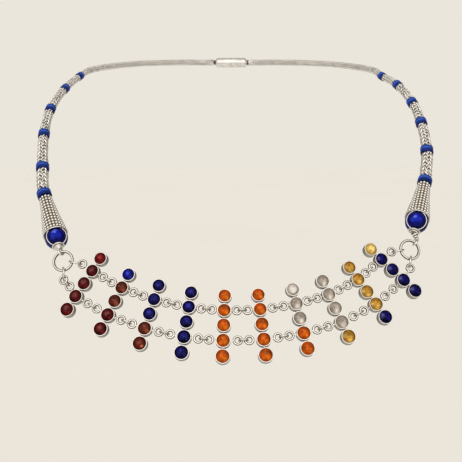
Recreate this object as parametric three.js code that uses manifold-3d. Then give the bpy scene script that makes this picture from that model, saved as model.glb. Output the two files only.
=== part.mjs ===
// A necklace as it sits on the neck: ten bars of five bezel-set stones, hung side by side on two strands of
// rings. Each end has a large ring, a capped ball with an inlaid stone, a flared cone, and a woven cord of
// silver with six sleeves. The two cords meet in a plain clasp at the nape.
// Millimetres and degrees. +X is the viewer's right, +Y goes back towards the nape, +Z is up.

import * as THREE from "three";
import { mergeVertices } from "three/addons/utils/BufferGeometryUtils.js";
import Module from "manifold-3d";

const wasm = await Module();
wasm.setup();

// Driving dimensions.
const GAP = 0.15; // running gap between neighbouring pieces
const NAPE = { back: 120.6, up: 62.5 }; // the nape, measured from the middle of the front

const front = { radius: 220, lean: 24, middle: -30 }; // the surface that the bars lie on

const bezel = { top: 4.65, growth: 0.1, between: 0.25, deep: 2.3, crown: 0.45, sides: 10 };
const joint = { radius: 0.5, into: 0.35, sides: 4 }; // solder between two bezels
const eyelet = { radius: 1.55, wire: 0.7, level: -1.1, sides: 4, steps: 8 }; // flat ring on a bezel's side
const stalk = { radius: 0.3, sides: 4 };
const link = { wire: 0.5, sides: 4, steps: 8 }; // ring that joins two eyelets, edge on

const bigRing = { radius: 3.35, wire: 0.9, sides: 6, steps: 18 };
const ball = { radius: 4, cut: 2.05, facing: 31, sides: 12 }; // its stone starts at cut and looks up by facing
const cap = { radius: 2.1, thick: 0.65, seat: 0.86, neck: 0.7, neckSides: 6, sides: 12 };
const eye = { radius: 0.98, wire: 0.55, sides: 5, steps: 8 };
const cone = { mouth: 4.4, top: 2.3, flare: 1.25, mouthAt: 1.5, topAt: 18.2, sides: 12 };

const cord = { start: 2.25, end: 1.25, taper: 70, waist: 0.8, sides: 8, step: 9 };
const sleeve = { long: 2.9, proud: 1.17 };
const clasp = { radius: 2, tip: 1.45, long: 13, lead: 3, sides: 12 };

// Each bar's middle stone, its turn from upright, and its main stone. Left to right.
const bars = [
  { name: "bar_01", across: -49.7, up: -18.3, turn: -33, stone: "garnet" },
  { name: "bar_02", across: -38.9, up: -23.6, turn: -27, stone: "garnet" },
  { name: "bar_03", across: -27.1, up: -27.3, turn: -18, stone: "blue" },
  { name: "bar_04", across: -14.8, up: -29.6, turn: -9, stone: "blue" },
  { name: "bar_05", across: -2.5, up: -30.6, turn: -2, stone: "orange" },
  { name: "bar_06", across: 10.1, up: -30.3, turn: 7, stone: "orange" },
  { name: "bar_07", across: 22.7, up: -28.6, turn: 14, stone: "clear" },
  { name: "bar_08", across: 34.6, up: -25.7, turn: 25, stone: "clear" },
  { name: "bar_09", across: 45.6, up: -20.8, turn: 36, stone: "yellow" },
  { name: "bar_10", across: 54.8, up: -14.0, turn: 47, stone: "blue" },
];
const BEZELS = 5;
const strands = [
  { name: "upper", bezel: 1, stalk: 0.2 },
  { name: "lower", bezel: 3, stalk: 0.6 },
];

// The two ends. Places are measured from the middle of the front. hang is where on the ring the eye holds it,
// lean turns the cap and the cone back, splay turns them outwards, and outer sets the two end eyelets.
const ends = [
  {
    side: "left",
    bar: 0,
    ring: { across: -57.3, back: 15.7, up: -11.4 },
    hang: 20,
    ball: { across: -60.5, back: 22.0, up: -4.1 },
    cap: { lean: 43, splay: -22 },
    cone: { lean: 39.5, splay: -23 },
    outer: { upper: { turn: 4, stalk: 0.75 }, lower: { turn: 23, stalk: 0.4 } },
    spare: { across: -56.8, back: 12.9, up: -17.5 },
    sleeves: [1.85, 14, 29.2, 41.7, 55.1, 66.6],
    route: [
      { across: -68.4, back: 42.3, up: 19.7 },
      { across: -69.3, back: 51.7, up: 31.7 },
      { across: -68.1, back: 59.8, up: 41.1 },
      { across: -64.0, back: 69.7, up: 49.2 },
      { across: -59.6, back: 78.8, up: 54.4 },
    ],
  },
  {
    side: "right",
    bar: 9,
    ring: { across: 61.2, back: 18.4, up: -7.8 },
    hang: -42,
    ball: { across: 64.2, back: 23.2, up: 1.4 },
    cap: { lean: 32, splay: 20 },
    cone: { lean: 45, splay: 21 },
    outer: { upper: { turn: -9, stalk: 1.1 }, lower: { turn: 9, stalk: 1.35 } },
    spare: null,
    sleeves: [1.85, 15.7, 28.9, 39.5, 51.8, 62.3],
    route: [
      { across: 71.4, back: 45.8, up: 25.8 },
      { across: 70.6, back: 54.0, up: 36.0 },
      { across: 68.3, back: 61.0, up: 43.6 },
      { across: 64.1, back: 70.2, up: 50.6 },
      { across: 59.3, back: 78.7, up: 54.4 },
    ],
  },
];
// How both cords go round the nape, on the right-hand side.
const napeRoute = [
  { across: 57.0, back: 84.3, up: 56.8 },
  { across: 48.2, back: 98.1, up: 59.6 },
  { across: 36.1, back: 109.2, up: 61.4 },
  { across: 21.5, back: 116.8, up: 62.3 },
];

const finishes = {
  silver: { color: 0xd8d6d0, roughness: 0.25, metalness: 1 },
  woven: { color: 0xb9b7b0, roughness: 0.4, metalness: 1 },
  enamel: { color: 0x213c87, roughness: 0.2, metalness: 0 },
  garnet: { color: 0x7b2524, roughness: 0.1, metalness: 0 },
  blue: { color: 0x2c3191, roughness: 0.1, metalness: 0 },
  orange: { color: 0xb75c1e, roughness: 0.1, metalness: 0 },
  clear: { color: 0xc4c0bc, roughness: 0.1, metalness: 0 },
  yellow: { color: 0xb4883c, roughness: 0.1, metalness: 0 },
};

const necklace = new THREE.Group();
necklace.position.set(0, clasp.radius - NAPE.back, -NAPE.up);

const rad = THREE.MathUtils.degToRad;
const vec = (x, y, z) => new THREE.Vector3(x, y, z);
const at = ({ across, back, up }) => vec(across, back, up);
const slope = Math.tan(rad(front.lean));

// Adds a named piece to the necklace.
function add(name, finish, geometry, matrix = new THREE.Matrix4()) {
  const mesh = new THREE.Mesh(geometry, new THREE.MeshStandardMaterial(finishes[finish]));
  mesh.name = name;
  mesh.applyMatrix4(matrix);
  necklace.add(mesh);
  return mesh;
}

// A frame at origin whose Z axis is exactly z and whose X axis is as near x as it can be.
function frameAt(origin, x, z) {
  const zAxis = z.clone().normalize();
  const yAxis = zAxis.clone().cross(x).normalize();
  const xAxis = yAxis.clone().cross(zAxis);
  return new THREE.Matrix4().makeBasis(xAxis, yAxis, zAxis).setPosition(origin);
}

// A turned piece from its outline, a list of [radius, height] from bottom to top. Its axis is Z.
function turned(outline, sides) {
  const points = outline.map(([radius, height]) => new THREE.Vector2(radius, height));
  return new THREE.LatheGeometry(points, sides).rotateX(Math.PI / 2);
}

// A rod of round section between two points.
function rod(from, to, radius, sides) {
  const along = to.clone().sub(from);
  const geometry = new THREE.CylinderGeometry(radius, radius, along.length(), sides);
  geometry.applyQuaternion(new THREE.Quaternion().setFromUnitVectors(vec(0, 1, 0), along.normalize()));
  return geometry.translate(...from.clone().add(to).multiplyScalar(0.5));
}

// Solder: the union of closed geometries.
function soldered(geometries) {
  const solids = geometries.map((geometry) => {
    const loose = geometry.index ? geometry.toNonIndexed() : geometry;
    const bare = new THREE.BufferGeometry().setAttribute("position", loose.getAttribute("position"));
    const { attributes, index } = mergeVertices(bare, 1e-4);
    const vertProperties = attributes.position.array;
    return new wasm.Manifold(
      new wasm.Mesh({ numProp: 3, vertProperties, triVerts: new Uint32Array(index.array) }),
    );
  });
  const { vertProperties, triVerts } = solids.reduce((whole, next) => whole.add(next)).getMesh();
  return new THREE.BufferGeometry()
    .setAttribute("position", new THREE.BufferAttribute(vertProperties, 3))
    .setIndex(new THREE.BufferAttribute(triVerts, 1));
}

// A skin over a row of rings of points, capped at both ends, or closed back onto its first ring.
function lofted(rings, closed) {
  const sides = rings[0].length;
  const points = rings.flat();
  const faces = [];
  const spans = closed ? rings.length : rings.length - 1;
  for (let i = 0; i < spans; i += 1) {
    const [near, far] = [i * sides, ((i + 1) % rings.length) * sides];
    for (let j = 0; j < sides; j += 1) {
      const next = (j + 1) % sides;
      faces.push(near + j, near + next, far + next, near + j, far + next, far + j);
    }
  }
  if (!closed) {
    const last = (rings.length - 1) * sides;
    for (let j = 1; j < sides - 1; j += 1) {
      faces.push(0, j + 1, j, last, last + j, last + j + 1);
    }
  }
  return new THREE.BufferGeometry().setFromPoints(points).setIndex(faces);
}

// The front panel.

const panelPoint = (across, up) =>
  vec(across, across ** 2 / (2 * front.radius) + (up - front.middle) * slope, up);
const panelNormal = (across) => vec(across / front.radius, -1, slope).normalize();

const bezelSize = (i) => bezel.top + bezel.growth * i;
const bezelPitch = (i) => (bezelSize(i) + bezelSize(i + 1)) / 2 + bezel.between;

// Height of each bezel's middle on its bar, from the bar's middle bezel.
const bezelHeights = Array.from({ length: BEZELS }, (_, i) => {
  const middle = (BEZELS - 1) / 2;
  let height = 0;
  for (let j = Math.min(i, middle); j < Math.max(i, middle); j += 1) height += bezelPitch(j);
  return i < middle ? height : -height;
});

function bezelGeometry(i) {
  const outer = bezelSize(i) / 2;
  const outline = [
    [0, -bezel.deep],
    [outer, -bezel.deep],
    [outer, 0],
    [0, bezel.crown],
  ];
  return turned(outline, bezel.sides).translate(0, bezelHeights[i], 0);
}

function placeBar({ across, up, turn }) {
  const normal = panelNormal(across);
  const [x, z] = [-Math.sin(rad(turn)), Math.cos(rad(turn))];
  const upwards = vec(x, (x * across) / front.radius + z * slope, z);
  return frameAt(panelPoint(across, up), upwards.cross(normal), normal);
}

for (const bar of bars) bar.matrix = placeBar(bar);

const bezelMiddle = (bar, i) => vec(0, bezelHeights[i], eyelet.level).applyMatrix4(bar.matrix);

// An eyelet's middle in its bar's own frame. turn is its direction from the bar's own right.
function eyeletAt(bezelNumber, turn, stalkLong) {
  const reach = bezelSize(bezelNumber) / 2 + stalkLong + eyelet.radius;
  const [x, y] = [Math.cos(turn) * reach, Math.sin(turn) * reach];
  return vec(x, bezelHeights[bezelNumber] + y, eyelet.level);
}

// An eyelet that points at the same bezel of the next bar.
function eyeletTowards(bar, other, strand) {
  const aim = bezelMiddle(other, strand.bezel).applyMatrix4(bar.matrix.clone().invert());
  const turn = Math.atan2(aim.y - bezelHeights[strand.bezel], aim.x);
  return eyeletAt(strand.bezel, turn, strand.stalk);
}

bars.forEach((bar, i) => {
  bar.eyelets = {};
  for (const strand of strands) {
    const [left, right] = ends.map((end) => end.outer[strand.name]);
    bar.eyelets[strand.name] = {
      left: bars[i - 1]
        ? eyeletTowards(bar, bars[i - 1], strand)
        : eyeletAt(strand.bezel, Math.PI - rad(left.turn), left.stalk),
      right: bars[i + 1]
        ? eyeletTowards(bar, bars[i + 1], strand)
        : eyeletAt(strand.bezel, rad(right.turn), right.stalk),
    };
  }
});

function barGeometry(bar) {
  const pieces = bezelHeights.map((_, i) => bezelGeometry(i));
  const level = -bezel.deep / 2;
  for (let i = 0; i < BEZELS - 1; i += 1) {
    const from = vec(0, bezelHeights[i] - bezelSize(i) / 2 + joint.into, level);
    const to = vec(0, bezelHeights[i + 1] + bezelSize(i + 1) / 2 - joint.into, level);
    pieces.push(rod(from, to, joint.radius, joint.sides));
  }
  for (const strand of strands) {
    const root = vec(0, bezelHeights[strand.bezel], eyelet.level);
    for (const middle of Object.values(bar.eyelets[strand.name])) {
      const out = middle.clone().sub(root).normalize();
      const from = root.clone().addScaledVector(out, bezelSize(strand.bezel) / 2 - joint.into);
      const to = middle.clone().addScaledVector(out, eyelet.wire / 2 - eyelet.radius);
      pieces.push(rod(from, to, stalk.radius, stalk.sides));
      const centreLine = eyelet.radius - eyelet.wire / 2;
      const loop = new THREE.TorusGeometry(centreLine, eyelet.wire / 2, eyelet.sides, eyelet.steps);
      loop.rotateZ(Math.atan2(out.y, out.x)).translate(...middle);
      pieces.push(loop);
    }
  }
  return soldered(pieces);
}

for (const bar of bars) add(bar.name, bar.stone, barGeometry(bar), bar.matrix);

// A round link that holds the wires whose middles are from and to. Its plane holds both, and the direction out.
function addLink(name, from, to, out, heldWire) {
  const along = to.clone().sub(from);
  const inner = along.length() / 2 + heldWire / 2 + GAP;
  const across = out.clone().cross(along);
  const geometry = new THREE.TorusGeometry(inner + link.wire / 2, link.wire / 2, link.sides, link.steps);
  add(name, "silver", geometry, frameAt(from.clone().add(to).multiplyScalar(0.5), along, across));
}

// The point on a ring's wire that lies furthest towards a target.
function wirePoint(middle, normal, centreLine, target) {
  const towards = target.clone().sub(middle).projectOnPlane(normal).normalize();
  return middle.clone().addScaledVector(towards, centreLine);
}

const eyeletLine = eyelet.radius - eyelet.wire / 2;

for (let i = 0; i < bars.length - 1; i += 1) {
  const [bar, next] = [bars[i], bars[i + 1]];
  const out = panelNormal(bar.across).add(panelNormal(next.across)).normalize();
  for (const strand of strands) {
    const from = bar.eyelets[strand.name].right.clone().applyMatrix4(bar.matrix);
    const to = next.eyelets[strand.name].left.clone().applyMatrix4(next.matrix);
    const near = wirePoint(from, panelNormal(bar.across), eyeletLine, to);
    const far = wirePoint(to, panelNormal(next.across), eyeletLine, from);
    const number = String(i + 1).padStart(2, "0");
    addLink("link_" + strand.name + "_" + number, near, far, out, eyelet.wire);
  }
}

// The ends.

// Upright, turned outwards by splay and back by lean.
const leaning = ({ splay, lean }) =>
  vec(
    Math.sin(rad(splay)) * Math.cos(rad(lean)),
    Math.sin(rad(lean)),
    Math.cos(rad(splay)) * Math.cos(rad(lean)),
  );

function addEnd(end) {
  const { side } = end;
  const ringMiddle = at(end.ring);
  const ringNormal = panelNormal(end.ring.across);
  const hangLine = vec(-Math.sin(rad(end.hang)), 0, Math.cos(rad(end.hang)));
  const held = wirePoint(ringMiddle, ringNormal, bigRing.radius, ringMiddle.clone().add(hangLine));
  const ringGeometry = new THREE.TorusGeometry(
    bigRing.radius,
    bigRing.wire / 2,
    bigRing.sides,
    bigRing.steps,
  );
  add("ring_" + side, "silver", ringGeometry, frameAt(ringMiddle, hangLine, ringNormal));

  // The cap's disc sits under the ball. Its neck ends in the eye that holds the ring.
  const ballMiddle = at(end.ball);
  const capAxis = leaning(end.cap);
  const discTop = -(ball.radius * cap.seat + GAP);
  const discBottom = discTop - cap.thick;
  const neckTop = ballMiddle.clone().addScaledVector(capAxis, discBottom + GAP / 2);
  const pull = held.clone().sub(ringMiddle).normalize();
  const slack = eye.radius - eye.wire / 2 - bigRing.wire / 2 - GAP;
  const eyeMiddle = held.clone().addScaledVector(pull, slack);
  const neckBottom = eyeMiddle.clone().addScaledVector(pull, eye.radius);
  const capRim = Math.sqrt((ball.radius + GAP) ** 2 - discTop ** 2);
  const discOutline = [
    [0, discBottom],
    [cap.radius * 0.75, discBottom],
    [cap.radius, discBottom + cap.thick / 3],
    [cap.radius, discTop + GAP],
    [capRim, discTop],
    [0, -(ball.radius + GAP)],
  ];
  const disc = turned(discOutline, cap.sides).applyMatrix4(frameAt(ballMiddle, vec(0, -1, 0), capAxis));
  const neck = rod(neckTop, neckBottom, cap.neck, cap.neckSides);
  const eyeGeometry = new THREE.TorusGeometry(eye.radius, eye.wire / 2, eye.sides, eye.steps);
  eyeGeometry.applyMatrix4(frameAt(eyeMiddle, pull, pull.clone().cross(ringNormal)));
  add("cap_" + side, "silver", soldered([disc, neck, eyeGeometry]));

  // The ball is cut flat in front for its stone, which completes the round form.
  const cutRadius = Math.sqrt(ball.radius ** 2 - ball.cut ** 2);
  const cutAngle = Math.atan2(cutRadius, ball.cut);
  const arc = (from, to, steps) =>
    Array.from({ length: steps + 1 }, (_, i) => {
      const angle = THREE.MathUtils.lerp(from, to, i / steps);
      return [ball.radius * Math.sin(angle), ball.radius * Math.cos(angle)];
    });
  const axis = leaning(end.cone);
  const outward = vec(0, -Math.cos(rad(ball.facing)), Math.sin(rad(ball.facing)));
  const facing = frameAt(ballMiddle, axis, outward);
  add("ball_" + side, "blue", turned([...arc(Math.PI, cutAngle, 6), [0, ball.cut]], ball.sides), facing);
  const stoneBase = ball.cut + GAP;
  const stoneAngle = Math.acos(stoneBase / ball.radius);
  const stoneOutline = [[0, stoneBase], ...arc(stoneAngle, 0, 3)];
  add("ball_stone_" + side, "blue", turned(stoneOutline, ball.sides), facing);

  // The cone is hollowed at its mouth to take the ball.
  const hollow = ball.radius + GAP;
  const mouthAngle = Math.acos(cone.mouthAt / hollow);
  const hollowArc = Array.from({ length: 4 }, (_, i) => {
    const angle = (mouthAngle * i) / 3;
    return [hollow * Math.sin(angle), hollow * Math.cos(angle)];
  });
  const flare = (share) => cone.top + (cone.mouth - cone.top) * share ** cone.flare;
  const flareOutline = [1, 0.75, 0.5, 0.25, 0].map((share) => [
    flare(share),
    cone.topAt + (cone.mouthAt - cone.topAt) * share,
  ]);
  const coneOutline = [...hollowArc, ...flareOutline, [0, cone.topAt]];
  add("cone_" + side, "woven", turned(coneOutline, cone.sides), frameAt(ballMiddle, outward, axis));

  addCord(end, ballMiddle.clone().addScaledVector(axis, cone.topAt + GAP), axis);
  addEndLinks(end, ringMiddle, ringNormal);
}

// The cord's route runs from the cone's top, over the shoulder line, and round the nape to the clasp.
function addCord({ side, route, sleeves }, start, axis) {
  const towards = side === "left" ? -1 : 1;
  const mirrored = napeRoute.map((point) => at(point).multiply(vec(towards, 1, 1)));
  const claspFace = clasp.long / 2 + GAP;
  const path = new THREE.CatmullRomCurve3([
    start,
    start.clone().addScaledVector(axis, 4),
    ...route.map(at),
    ...mirrored,
    vec(towards * (claspFace + clasp.lead), NAPE.back, NAPE.up),
    vec(towards * claspFace, NAPE.back, NAPE.up),
  ]);
  path.arcLengthDivisions = 800;
  const long = path.getLength();
  const radiusAt = (s) => THREE.MathUtils.lerp(cord.start, cord.end, Math.min(s / cord.taper, 1));
  const ringAt = (s, radius) => {
    const middle = path.getPointAt(s / long);
    const frame = frameAt(middle, vec(0, -0.8, 0.6), path.getTangentAt(s / long));
    return Array.from({ length: cord.sides }, (_, j) => {
      const angle = (2 * Math.PI * j) / cord.sides;
      return vec(radius * Math.cos(angle), radius * Math.sin(angle), 0).applyMatrix4(frame);
    });
  };

  // The weave is drawn in to a waist under each sleeve.
  const half = sleeve.long / 2;
  const rings = [];
  let done = 0;
  for (const s of [...sleeves, null]) {
    const until = s === null ? long : s - half - GAP;
    const steps = Math.max(1, Math.round((until - done) / cord.step));
    for (let i = 0; i <= steps; i += 1) {
      const here = THREE.MathUtils.lerp(done, until, i / steps);
      rings.push(ringAt(here, radiusAt(here)));
    }
    if (s === null) break;
    const waist = radiusAt(s) * cord.waist;
    rings.push(ringAt(s - half - GAP, waist), ringAt(s + half + GAP, waist));
    done = s + half + GAP;
  }
  add("cord_" + side, "woven", lofted(rings, false));

  sleeves.forEach((s, i) => {
    const outer = radiusAt(s) * sleeve.proud;
    const inner = radiusAt(s) * cord.waist + GAP;
    const [low, high] = [s - half, s + half];
    const skin = [ringAt(low, outer), ringAt(high, outer), ringAt(high, inner), ringAt(low, inner)];
    add("sleeve_" + side + "_" + (i + 1), "enamel", lofted(skin, true));
  });
}

// The links from the large ring to the nearest bar. On the left a spare flat ring lengthens the lower strand.
function addEndLinks(end, ringMiddle, ringNormal) {
  const bar = bars[end.bar];
  const barNormal = panelNormal(bar.across);
  for (const strand of strands) {
    const name = "end_link_" + end.side + "_" + strand.name;
    const last = bar.eyelets[strand.name][end.side].clone().applyMatrix4(bar.matrix);
    if (strand.name === "lower" && end.spare) {
      const spare = at(end.spare);
      const spareNormal = panelNormal(end.spare.across);
      const flat = new THREE.TorusGeometry(eyeletLine, eyelet.wire / 2, eyelet.sides, eyelet.steps);
      add("spare_ring_" + end.side, "silver", flat, frameAt(spare, vec(1, 0, 0), spareNormal));
      const near = wirePoint(last, barNormal, eyeletLine, spare);
      const far = wirePoint(spare, spareNormal, eyeletLine, last);
      addLink(name + "_2", near, far, barNormal, eyelet.wire);
      const top = wirePoint(spare, spareNormal, eyeletLine, ringMiddle);
      const big = wirePoint(ringMiddle, ringNormal, bigRing.radius, spare);
      addLink(name, top, big, ringNormal, bigRing.wire);
    } else {
      const near = wirePoint(last, barNormal, eyeletLine, ringMiddle);
      const big = wirePoint(ringMiddle, ringNormal, bigRing.radius, last);
      addLink(name, near, big, ringNormal, bigRing.wire);
    }
  }
}

ends.forEach(addEnd);

const claspHalf = clasp.long / 2;
const claspOutline = [
  [0, -claspHalf],
  [clasp.tip, -claspHalf],
  [clasp.radius, 1 - claspHalf],
  [clasp.radius, claspHalf - 1],
  [clasp.tip, claspHalf],
  [0, claspHalf],
];
const claspPlace = frameAt(vec(0, NAPE.back, NAPE.up), vec(0, -1, 0), vec(1, 0, 0));
add("clasp", "silver", turned(claspOutline, clasp.sides), claspPlace);

export default necklace;
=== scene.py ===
"""Bar choker: ten bars of five bezel-set stones on two strands of links, two capped balls with inlaid stones,
two granulated cones, and a plaited silver cord with twelve blue sleeves that closes at the nape.

Every size is in metres. +X is the viewer's right, +Y goes back towards the nape, and +Z is up.
"""

import logging
import math
import random
from collections.abc import Callable, Iterator, Sequence
from contextlib import contextmanager
from dataclasses import dataclass, field
from enum import Enum, StrEnum
from typing import Any

import bmesh
import bpy
from mathutils import Matrix, Vector


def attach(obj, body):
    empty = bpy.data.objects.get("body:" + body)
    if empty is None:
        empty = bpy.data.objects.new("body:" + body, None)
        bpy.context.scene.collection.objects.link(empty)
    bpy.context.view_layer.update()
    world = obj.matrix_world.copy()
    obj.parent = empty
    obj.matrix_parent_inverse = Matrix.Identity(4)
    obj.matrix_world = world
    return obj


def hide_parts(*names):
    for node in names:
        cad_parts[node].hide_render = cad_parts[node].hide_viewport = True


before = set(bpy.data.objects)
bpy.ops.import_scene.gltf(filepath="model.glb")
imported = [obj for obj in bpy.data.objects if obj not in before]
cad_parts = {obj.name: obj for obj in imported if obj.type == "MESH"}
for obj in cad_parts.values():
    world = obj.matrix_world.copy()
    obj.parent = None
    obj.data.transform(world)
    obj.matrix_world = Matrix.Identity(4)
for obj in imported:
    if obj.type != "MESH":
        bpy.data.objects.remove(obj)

log = logging.getLogger("choker")

MM = 0.001
FULL_TURN = 2 * math.pi
GAP = 0.15 * MM  # the clearance between neighbours
MERGE = 1e-6  # points nearer than this become one
LEVEL = 0.9  # a face whose normal has more Z than this lies level
SHARP = 1.0  # an edge whose faces meet at more than this, in radians, is sharp

# The origin is at the nape, where the clasp touches it.
FRONT_MIDDLE = Vector((0.0, -118.6, -62.5)) * MM
CLASP_MIDDLE = FRONT_MIDDLE + Vector((0, 120.6 * MM, 62.5 * MM))
CLASP_HALF = 6.5 * MM

# The bars lie on a surface that curves back at both sides and leans back above its level.
FRONT_RADIUS = 220 * MM
FRONT_LEAN = math.tan(math.radians(24))
FRONT_LEVEL = -30 * MM

# The two cords' way round the nape, on the right-hand side: across, back and up in millimetres.
NAPE_ROUTE = ((57.0, 84.3, 56.8), (48.2, 98.1, 59.6), (36.1, 109.2, 61.4), (21.5, 116.8, 62.3))

# How much shade is painted on a wire: on a flat ring's inner flank, on its outer flank, and on a link's two
# cheeks.
INNER_FLANK = 3.0
OUTER_FLANK = 1.3
LINK_CHEEK = 0.3

Colour = tuple[float, float, float]


class Side(StrEnum):
    """The two ends of the front, as the viewer sees them."""

    LEFT = "left"
    RIGHT = "right"

    @property
    def outwards(self) -> int:
        """-1 on the left and 1 on the right."""
        return -1 if self is Side.LEFT else 1


class Strand(StrEnum):
    """The two strands of links between the bars."""

    UPPER = "upper"
    LOWER = "lower"


class Pick(Enum):
    """What is chosen in edit mode."""

    FACES = "FACE"
    EDGES = "EDGE"


def srgb(red: int, green: int, blue: int) -> Colour:
    """Turns a colour of 0 to 255 a channel into the linear colour that a shader takes.

    Args:
        red: Red, 0 to 255.
        green: Green, 0 to 255.
        blue: Blue, 0 to 255.

    Returns:
        The linear colour.
    """

    def channel(value: int) -> float:
        """Returns one channel made linear."""
        share = value / 255
        return share / 12.92 if share <= 0.04045 else ((share + 0.055) / 1.055) ** 2.4

    return channel(red), channel(green), channel(blue)


# The bench: how meshes are made, chosen from and joined.


def lay_down_all() -> None:
    """Deselects every object."""
    bpy.ops.object.select_all(action="DESELECT")


def pick_up(piece: bpy.types.Object) -> None:
    """Selects one object alone and makes it active.

    Args:
        piece: The object.
    """
    lay_down_all()
    piece.select_set(True)
    bpy.context.view_layer.objects.active = piece


@contextmanager
def at_work_on(piece: bpy.types.Object) -> Iterator[None]:
    """Opens a piece in edit mode with nothing chosen, and closes it again.

    Args:
        piece: The mesh object to work on.

    Yields:
        Nothing, while the piece is open.
    """
    pick_up(piece)
    bpy.ops.object.mode_set(mode="EDIT")
    bpy.ops.mesh.select_mode(type="VERT")
    bpy.ops.mesh.select_all(action="DESELECT")
    yield
    bpy.ops.object.mode_set(mode="OBJECT")


def choose(piece: bpy.types.Object, kind: Pick, test: Callable[[Any], bool]) -> None:
    """Chooses the faces or the edges that pass a test, and no others. The piece is in edit mode.

    Args:
        piece: The piece at work.
        kind: Whether faces or edges are chosen.
        test: Says whether one is wanted.
    """
    bpy.ops.mesh.select_mode(type=kind.value)
    shell = bmesh.from_edit_mesh(piece.data)
    parts = shell.faces if kind is Pick.FACES else shell.edges
    for part in parts:
        part.select_set(False)
    for part in parts:
        if test(part):
            part.select_set(True)
    bmesh.update_edit_mesh(piece.data)


def rise_of(edge: bmesh.types.BMEdge) -> float:
    """Returns how far an edge goes up or down."""
    return abs(edge.verts[0].co.z - edge.verts[1].co.z)


def settled(piece: bpy.types.Object) -> bpy.types.Object:
    """Puts an object's place, turn and size into its mesh.

    Args:
        piece: The object.

    Returns:
        The same object, now at the origin.
    """
    pick_up(piece)
    bpy.ops.object.transform_apply(location=True, rotation=True, scale=True)
    return piece


def smoothed(piece: bpy.types.Object, degrees: float) -> bpy.types.Object:
    """Shades a piece smooth wherever its faces meet more gently than an angle.

    Args:
        piece: The object.
        degrees: The angle.

    Returns:
        The same object.
    """
    pick_up(piece)
    bpy.ops.object.shade_smooth_by_angle(angle=math.radians(degrees))
    return piece


def copied(piece: bpy.types.Object, place: Matrix) -> bpy.types.Object:
    """Copies a piece with a mesh of its own, moved to a place.

    Args:
        piece: The piece to copy.
        place: Where the copy goes.

    Returns:
        The copy, with its place in its mesh.
    """
    copy = bpy.data.objects.new(piece.name, piece.data.copy())
    bpy.context.scene.collection.objects.link(copy)
    copy.data.transform(place)
    return copy


def joined(name: str, pieces: Sequence[bpy.types.Object]) -> bpy.types.Object:
    """Joins pieces into one object.

    Args:
        name: The name of the whole.
        pieces: The pieces, which are used up.

    Returns:
        The whole.
    """
    lay_down_all()
    for piece in pieces:
        piece.select_set(True)
    bpy.context.view_layer.objects.active = pieces[0]
    if len(pieces) > 1:
        bpy.ops.object.join()
    pieces[0].name = name
    pieces[0].data.name = name
    return pieces[0]


def put_away(pieces: Sequence[bpy.types.Object]) -> None:
    """Removes patterns that were only copied from.

    Args:
        pieces: The pattern objects.
    """
    for piece in pieces:
        bpy.data.objects.remove(piece)


def resize(piece: bpy.types.Object, along_x: float, along_y: float, along_z: float) -> None:
    """Stretches a new piece by three factors.

    Args:
        piece: The piece, which lies about the origin.
        along_x: The factor along X.
        along_y: The factor along Y.
        along_z: The factor along Z.
    """
    with at_work_on(piece):
        bpy.ops.mesh.select_all(action="SELECT")
        bpy.ops.transform.resize(value=(along_x, along_y, along_z))


def slice_level(piece: bpy.types.Object, height: float, above: bool) -> None:
    """Slices a piece level, throws one part away and closes the other.

    Args:
        piece: The piece.
        height: Height of the slice.
        above: Whether the part above it goes, and not the part below.
    """
    with at_work_on(piece):
        bpy.ops.mesh.select_all(action="SELECT")
        bpy.ops.mesh.bisect(
            plane_co=(0, 0, height),
            plane_no=(0, 0, 1),
            use_fill=True,
            clear_outer=above,
            clear_inner=not above,
        )


def spun_round(piece: bpy.types.Object, steps: int) -> None:
    """Spins a piece's outline about the Z axis and closes it, with its faces outwards.

    Args:
        piece: The piece, which is an outline so far.
        steps: Faces round it.
    """
    with at_work_on(piece):
        bpy.ops.mesh.select_all(action="SELECT")
        bpy.ops.mesh.spin(steps=steps, angle=FULL_TURN, center=(0, 0, 0), axis=(0, 0, 1))
        bpy.ops.mesh.select_all(action="SELECT")
        bpy.ops.mesh.remove_doubles(threshold=MERGE)
        bpy.ops.mesh.normals_make_consistent(inside=False)


def wire_ring(
    name: str,
    radius: float,
    wire: float,
    sides: int,
    steps: int,
    shaded: Callable[[Vector, Vector], float] | None = None,
) -> bpy.types.Object:
    """Bends a round wire into a closed ring about the Z axis.

    Args:
        name: The ring's name.
        radius: Radius of the wire's middle line.
        wire: Thickness of the wire.
        sides: Faces round the wire.
        steps: Faces along the wire.
        shaded: How much shade is painted on the wire, by the place on it and the direction faced.

    Returns:
        The ring.
    """
    lay_down_all()
    bpy.ops.mesh.primitive_circle_add(
        vertices=sides, radius=wire / 2, location=(radius, 0, 0), rotation=(math.pi / 2, 0, 0)
    )
    ring = settled(bpy.context.active_object)
    ring.name = name
    spun_round(ring, steps)
    if shaded:
        normals = [vertex.normal.copy() for vertex in ring.data.vertices]
        flanks = ring.data.attributes.new("flank", "FLOAT", "POINT")
        for number, vertex, normal in zip(flanks.data, ring.data.vertices, normals):
            number.value = shaded(vertex.co, normal)
    return smoothed(ring, 60)


def dull_flanks(co: Vector, facing: Vector) -> float:
    """Returns the painted shade on a flat ring: light above and below, dark on its flanks, and darkest
    inside.
    """
    inside = co.x * facing.x + co.y * facing.y < 0
    return (INNER_FLANK if inside else OUTER_FLANK) * (1 - abs(facing.z))


def dull_cheeks(_: Vector, facing: Vector) -> float:
    """Returns the painted shade on a link: a little, on its two flat sides, wherever the point is."""
    return LINK_CHEEK * abs(facing.z)


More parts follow.
